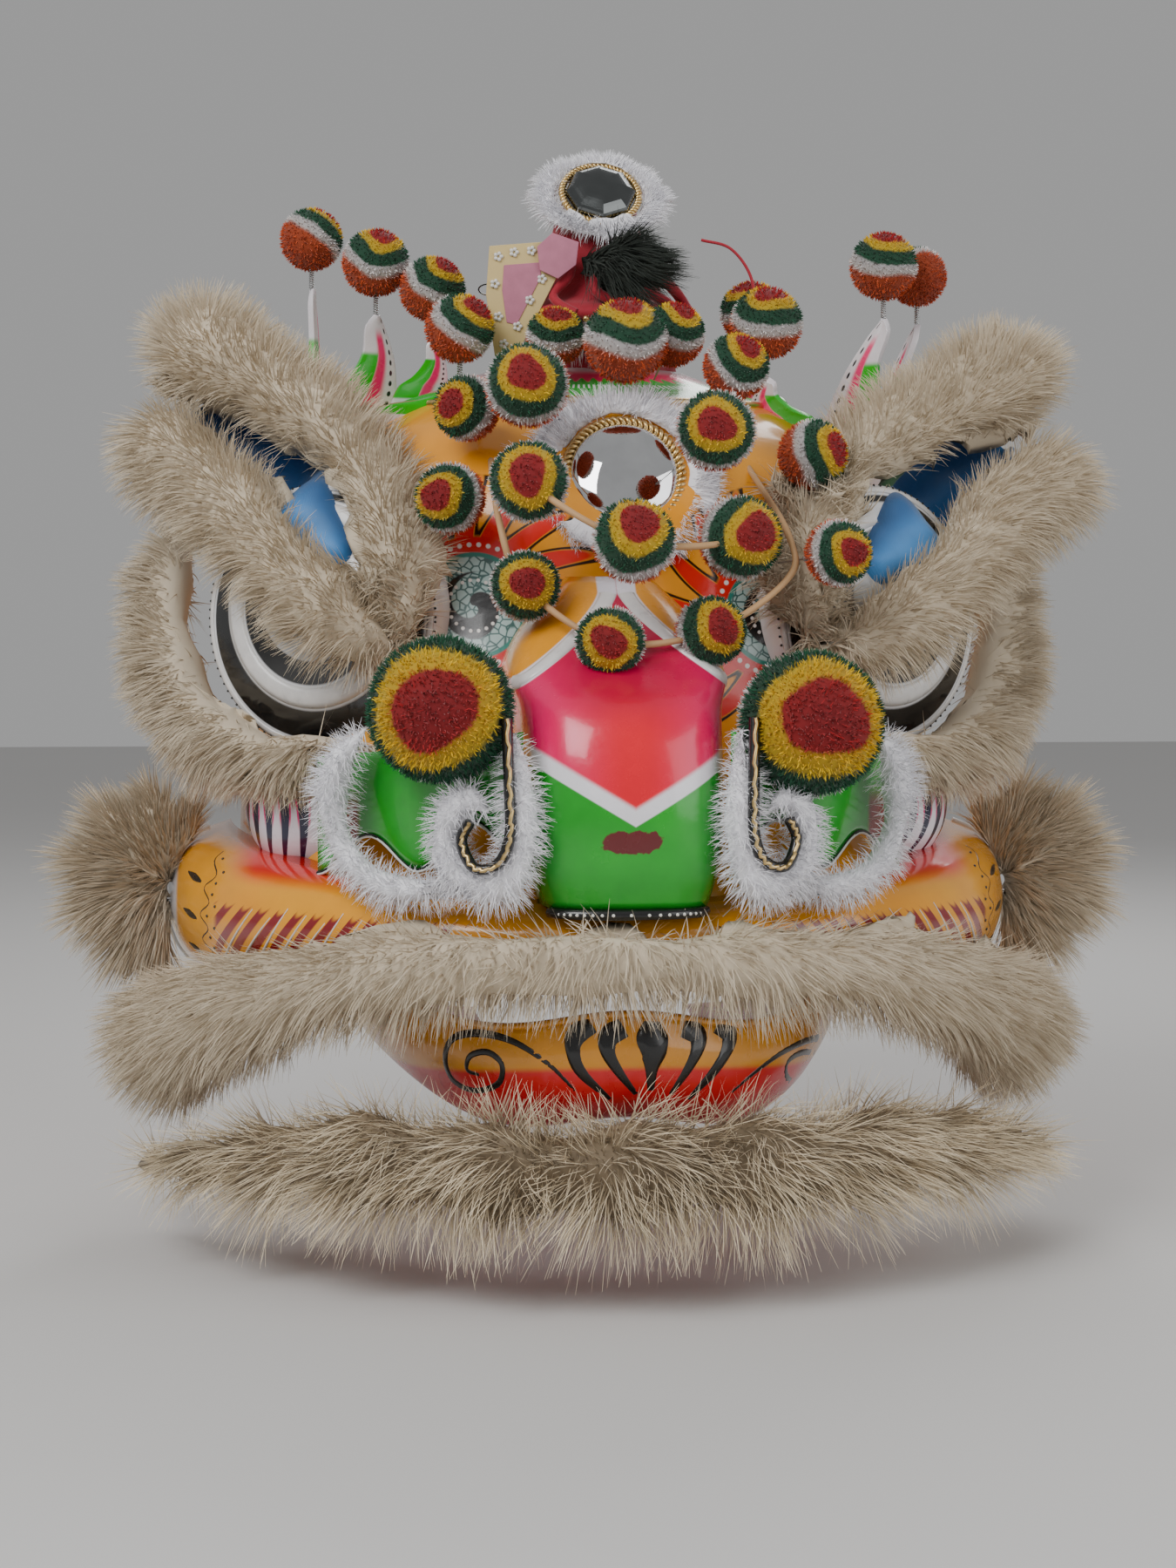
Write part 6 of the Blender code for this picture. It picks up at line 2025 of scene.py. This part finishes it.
class LION_OT_nose(bpy.types.Operator):
    """Makes the nose and its wings"""

    bl_idname = "lion.nose"
    bl_label = "Nose and nostrils"

    def execute(self, context):
        """Makes the pieces."""
        make_nose()
        for side, word in ((-1, "left"), (1, "right")):
            make_nostril(side, word)
        return {"FINISHED"}


class LION_OT_eyes(bpy.types.Operator):
    """Makes the eyes and the gills"""

    bl_idname = "lion.eyes"
    bl_label = "Eyes and gills"

    def execute(self, context):
        """Makes the pieces."""
        tree = tree_of(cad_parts["head_shell"])
        for side, word in ((-1, "left"), (1, "right")):
            make_eye(side, word, tree)
            make_gill(side, word, tree)
        return {"FINISHED"}


class LION_OT_ears(bpy.types.Operator):
    """Makes the cloth ears"""

    bl_idname = "lion.ears"
    bl_label = "Ears"

    def execute(self, context):
        """Makes the pieces."""
        for side, word in ((-1, "left"), (1, "right")):
            make_ear(side, word)
        return {"FINISHED"}


class LION_OT_jaw(bpy.types.Operator):
    """Makes the lower jaw"""

    bl_idname = "lion.jaw"
    bl_label = "Jaw"

    def execute(self, context):
        """Makes the piece."""
        make_jaw()
        return {"FINISHED"}


class LION_OT_long_fur(bpy.types.Operator):
    """Makes the beige fur of the ears, eyes, cheeks, lip and beard"""

    bl_idname = "lion.long_fur"
    bl_label = "Long fur"

    def execute(self, context):
        """Makes the pieces."""
        beige = finish("beige_fur")
        tree = tree_of(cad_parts["head_shell"])
        for side, word in ((-1, "left"), (1, "right")):
            foot, tip = ear_line(side)
            ahead = (tip - foot).normalized()

            def ear_axis(place, foot=foot, ahead=ahead):
                return foot + ahead * clamp((place - foot).dot(ahead), 0.0, EAR_LENGTH)

            furred(f"ear_fur_{word}_strands", f"ear_fur_{word}", "head", "beige_fur", beige,
                   flow_from_ear(side), 16500, growth=bare_inside(ear_axis), length=0.023)
            eye = front_spot(tree, side * 0.73, 0.54)
            furred(f"eye_fur_{word}_strands", f"eye_fur_{word}", "head", "beige_fur", beige,
                   flow_from(eye, (0, 0, -0.2)), 12500,
                   growth=bare_inside(lambda _, eye=eye: eye), length=0.021)
            root = Vector((side * CHEEK_HALF_WIDTH * 0.96, -CHEEK_REACH * 0.24, NOSE_BOTTOM * 0.72))
            furred(f"cheek_tuft_{word}_strands", f"cheek_tuft_{word}", "head", "beige_fur", beige,
                   flow_from(root), 6500, length=0.026, lean=2.2, sink=0.006, stray=0.22, clump=0.7)
        furred("lip_fur_strands", "lip_fur", "head", "beige_fur", beige, lip_flow, 19000, length=0.024)
        furred("beard_strands", "beard", "jaw", "beige_fur", finish("beard_fur"), beard_flow, 16500,
               growth=lambda place, normal: clamp(0.9 - normal.y, 0.1, 1.0),
               length=0.036, lean=1.0, droop=0.12, stray=0.50, sink=0.017, clump=1.25,
               clump_scale=34.0, steps=5, width=0.0009)
        return {"FINISHED"}


class LION_OT_white_fur(bpy.types.Operator):
    """Makes the white fur of the nostrils and both mirrors, and the horn's hair"""

    bl_idname = "lion.white_fur"
    bl_label = "White fur and hair"

    def execute(self, context):
        """Makes the pieces."""
        white = finish("white_fur")
        for word in ("left", "right"):
            furred(f"nostril_fur_{word}_strands", f"nostril_fur_{word}", "head", "white_fur", white,
                   lambda place: Vector((0, -0.2, 0)), 6500, length=0.0125, sink=0.0045, steps=3,
                   stray=0.55, width=0.0008, clump=0.7, clump_scale=120.0)
        tree = tree_of(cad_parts["head_shell"])
        mirror = front_spot(tree, 0.055, 0.765)
        furred("mirror_fur_strands", "mirror_fur", "head", "white_fur", white,
               flow_from(mirror, (0, -0.3, 0)), 7000, length=0.012, sink=0.006, steps=3, width=0.0008)
        place, _ = horn_mirror_place()
        furred("horn_fur_strands", "horn_fur", "head", "white_fur", white,
               flow_from(place, (0, -0.3, 0)), 7000, length=0.0095, sink=0.004, steps=3, width=0.0008)
        furred("horn_hair_strands", "horn_hair", "head", "black_hair", finish("black_hair"), hair_flow,
               3600, length=0.030, sink=0.006, lean=1.4, steps=4, stray=0.5, width=0.0010)
        return {"FINISHED"}


class LION_OT_pompoms(bpy.types.Operator):
    """Makes the pompoms on their springs"""

    bl_idname = "lion.pompoms"
    bl_label = "Pompoms"

    def execute(self, context):
        """Makes the pieces."""
        settings = context.scene.lion_pompoms
        tree = tree_of(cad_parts["head_shell"])
        for number, (across, forward, up, size, aim, cap) in enumerate(POMPOMS, start=1):
            centre = at(across, forward, up)
            if number in FINS:
                foot = centre - Vector((0, 0, POMPOM_RADIUS * size + SPRING_SHOWN - 0.0005))
            else:
                inside = at(aim, forward * 0.25, min(up, 0.96) * 0.92)
                foot = tree.ray_cast(centre, (inside - centre).normalized())[0]
            make_pompom(f"pompom_{number}_pile", f"pompom_{number}", centre, POMPOM_RADIUS * size,
                        foot, cap, settings.pile_count, CAP_SEED + number)
        for number, (side, up, cap) in enumerate(BIG_POMPOMS, start=1):
            centre = at(side * 0.462, 1.12, up)
            foot = centre + Vector((-side * 0.3, 0.9, -0.35)).normalized() * (BIG_POMPOM_RADIUS * 1.5)
            make_pompom(f"big_pompom_{number}_pile", f"big_pompom_{number}", centre,
                        BIG_POMPOM_RADIUS, foot, cap, settings.big_pile_count, CAP_SEED + 40 + number, 1.32)
        return {"FINISHED"}


class LION_OT_hoops(bpy.types.Operator):
    """Makes the rattan hoops with their pompoms"""

    bl_idname = "lion.hoops"
    bl_label = "Hoops"

    def execute(self, context):
        """Makes the pieces."""
        tree = tree_of(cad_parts["head_shell"])
        outer = (front_spot(tree, -0.30, 0.80), front_spot(tree, 0.40, 0.79))
        inner = (front_spot(tree, -0.20, 0.82), front_spot(tree, 0.34, 0.74))
        make_hoop("outer_hoop_rattan", "outer_hoop", outer, OUTER_HOOP, CAP_SEED + 60)
        make_hoop("inner_hoop_rattan", "inner_hoop", inner, INNER_HOOP, CAP_SEED + 70)
        return {"FINISHED"}


class LION_OT_fins(bpy.types.Operator):
    """Makes the painted fins"""

    bl_idname = "lion.fins"
    bl_label = "Fins"

    def execute(self, context):
        """Makes the pieces."""
        tree = tree_of(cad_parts["head_shell"])
        for order, (number, row) in enumerate(FINS.items(), start=1):
            across, forward, up, size, _, _ = POMPOMS[number - 1]
            tip = at(across, forward, up) - Vector((0, 0, POMPOM_RADIUS * size + SPRING_SHOWN))
            make_fin(order, f"fin_{order}", row, tip, tree)
        return {"FINISHED"}


class LION_OT_mirrors(bpy.types.Operator):
    """Makes the forehead mirror and the horn's mirror"""

    bl_idname = "lion.mirrors"
    bl_label = "Mirrors"

    def execute(self, context):
        """Makes the pieces."""
        tree = tree_of(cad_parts["head_shell"])
        facing = Vector((0, -0.93, 0.36)).normalized()
        centre = front_spot(tree, 0.055, 0.765) + facing * MIRROR_LIFT
        make_mirror("forehead_mirror_glass", "forehead_mirror", centre, facing, MIRROR_RADIUS,
                    finish("mirror"), 0.0021)
        place, facing = horn_mirror_place()
        make_mirror("horn_mirror_glass", "horn_mirror", place, facing, HORN_MIRROR_RADIUS,
                    finish("dark_mirror"), 0.0016, facets=8)
        return {"FINISHED"}


class LION_OT_horn(bpy.types.Operator):
    """Makes the wrapped horn, the fur under its brim and the tag"""

    bl_idname = "lion.horn"
    bl_label = "Horn and tag"

    def execute(self, context):
        """Makes the pieces."""
        make_horn()
        make_tag()
        foot, ahead = horn_frame()
        base = ring_base("brim_fur", foot + ahead * (HORN_HEIGHT * 0.24), ahead, HORN_RADIUS * 1.08, 0.008,
                         finish("white_fur"))
        mesh = base.data
        flows = [(v.co - foot).normalized() * 0.5 - ahead * 0.8 for v in mesh.vertices]
        mesh.attributes.new("flow", "FLOAT_VECTOR", "POINT")
        mesh.attributes.new("cover", "FLOAT", "POINT")
        mesh.attributes["flow"].data.foreach_set("vector", [number for row in flows for number in row])
        mesh.attributes["cover"].data.foreach_set("value", [1.0] * len(flows))
        area = sum(p.area for p in mesh.polygons)
        wanted = 5000 * 1.0
        run_tree(base, strands_tree(), density=wanted / area, length=0.016, width=0.0009, sink=0.001,
                 lean=0.8, droop=0.1, stray=0.4, clump=0.8, clump_scale=90.0, steps=3,
                 seed=STRAND_SEED, material=finish("white_fur"))
        keep(base, "head", "white_fur")
        return {"FINISHED"}


class LION_OT_stage(bpy.types.Operator):
    """Sets the floor, the soft light and the camera"""

    bl_idname = "lion.stage"
    bl_label = "Stage"

    def execute(self, context):
        """Makes the stage."""
        settings = context.scene.lion_stage
        scene = context.scene
        low = CAD_BOX[0][2] - settings.floor_drop
        mesh = bpy.data.meshes.new("floor")
        mesh.from_pydata([(-6, -6, low), (6, -6, low), (6, 6, low), (-6, 6, low)], [], [(0, 1, 2, 3)])
        material, shader, nodes, place = blank("floor")
        shade = nodes.noise(place, 1.5, 2.0)
        colour = tuple(settings.floor_colour)
        nodes.feed(shader, "Base Color", nodes.mix(shade, tuple(c * 0.97 for c in colour), colour))
        shader.inputs["Roughness"].default_value = 0.9
        mesh.materials.append(material)
        new_object("floor", mesh)
        world = bpy.data.worlds.new("studio")
        world.use_nodes = True
        sky = world.node_tree.nodes["Background"]
        sky.inputs[0].default_value = (0.80, 0.80, 0.80, 1.0)
        sky.inputs[1].default_value = 0.45
        scene.world = world
        for name, place, size, power in (
            ("key", (-1.1, -1.5, 1.5), 1.2, settings.key_power),
            ("fill", (1.5, -1.4, 0.7), 1.6, settings.key_power * 0.45),
            ("back", (0.6, 1.4, 1.6), 1.2, settings.key_power * 0.55),
        ):
            data = bpy.data.lights.new(name, "AREA")
            data.size = size
            data.energy = power
            lamp = bpy.data.objects.new(name, data)
            lamp.location = place
            aim = Vector((0, -0.1, 0.15)) - Vector(place)
            lamp.rotation_euler = aim.to_track_quat("-Z", "Y").to_euler()
            scene.collection.objects.link(lamp)
        data = bpy.data.cameras.new("camera")
        data.lens = CAMERA_LENS
        data.sensor_width = 36.0
        data.sensor_fit = "AUTO"
        camera = bpy.data.objects.new("camera", data)
        camera.location = CAMERA_PLACE
        aim = Vector(CAMERA_AIM) - Vector(CAMERA_PLACE)
        camera.rotation_euler = aim.to_track_quat("-Z", "Y").to_euler()
        scene.collection.objects.link(camera)
        scene.camera = camera
        return {"FINISHED"}


OPERATORS = (
    LION_OT_shell,
    LION_OT_nose,
    LION_OT_eyes,
    LION_OT_ears,
    LION_OT_jaw,
    LION_OT_long_fur,
    LION_OT_white_fur,
    LION_OT_pompoms,
    LION_OT_hoops,
    LION_OT_fins,
    LION_OT_mirrors,
    LION_OT_horn,
    LION_OT_stage,
)


class LION_PT_looks(bpy.types.Panel):
    """Lists the head's operators"""

    bl_idname = "LION_PT_looks"
    bl_label = "Lion head"
    bl_space_type = "VIEW_3D"
    bl_region_type = "UI"
    bl_category = "Lion head"

    def draw(self, context):
        """Draws one button for each operator."""
        for operator in OPERATORS:
            self.layout.operator(operator.bl_idname)


GROUPS = (
    (LionFurSettings, "lion_fur"),
    (LionPompomSettings, "lion_pompoms"),
    (LionStageSettings, "lion_stage"),
)


def register():
    """Adds the classes to Blender."""
    for group, name in GROUPS:
        bpy.utils.register_class(group)
        setattr(bpy.types.Scene, name, PointerProperty(type=group))
    for operator in OPERATORS:
        bpy.utils.register_class(operator)
    bpy.utils.register_class(LION_PT_looks)


def unregister():
    """Takes the classes out again."""
    bpy.utils.unregister_class(LION_PT_looks)
    for operator in reversed(OPERATORS):
        bpy.utils.unregister_class(operator)
    for group, name in reversed(GROUPS):
        delattr(bpy.types.Scene, name)
        bpy.utils.unregister_class(group)


def main():
    """Makes every piece."""
    register()
    bpy.ops.lion.shell()
    bpy.ops.lion.nose()
    bpy.ops.lion.eyes()
    bpy.ops.lion.ears()
    bpy.ops.lion.jaw()
    bpy.ops.lion.long_fur()
    bpy.ops.lion.white_fur()
    bpy.ops.lion.pompoms()
    bpy.ops.lion.hoops()
    bpy.ops.lion.fins()
    bpy.ops.lion.mirrors()
    bpy.ops.lion.horn()
    bpy.ops.lion.stage()


if __name__ == "__main__":
    main()
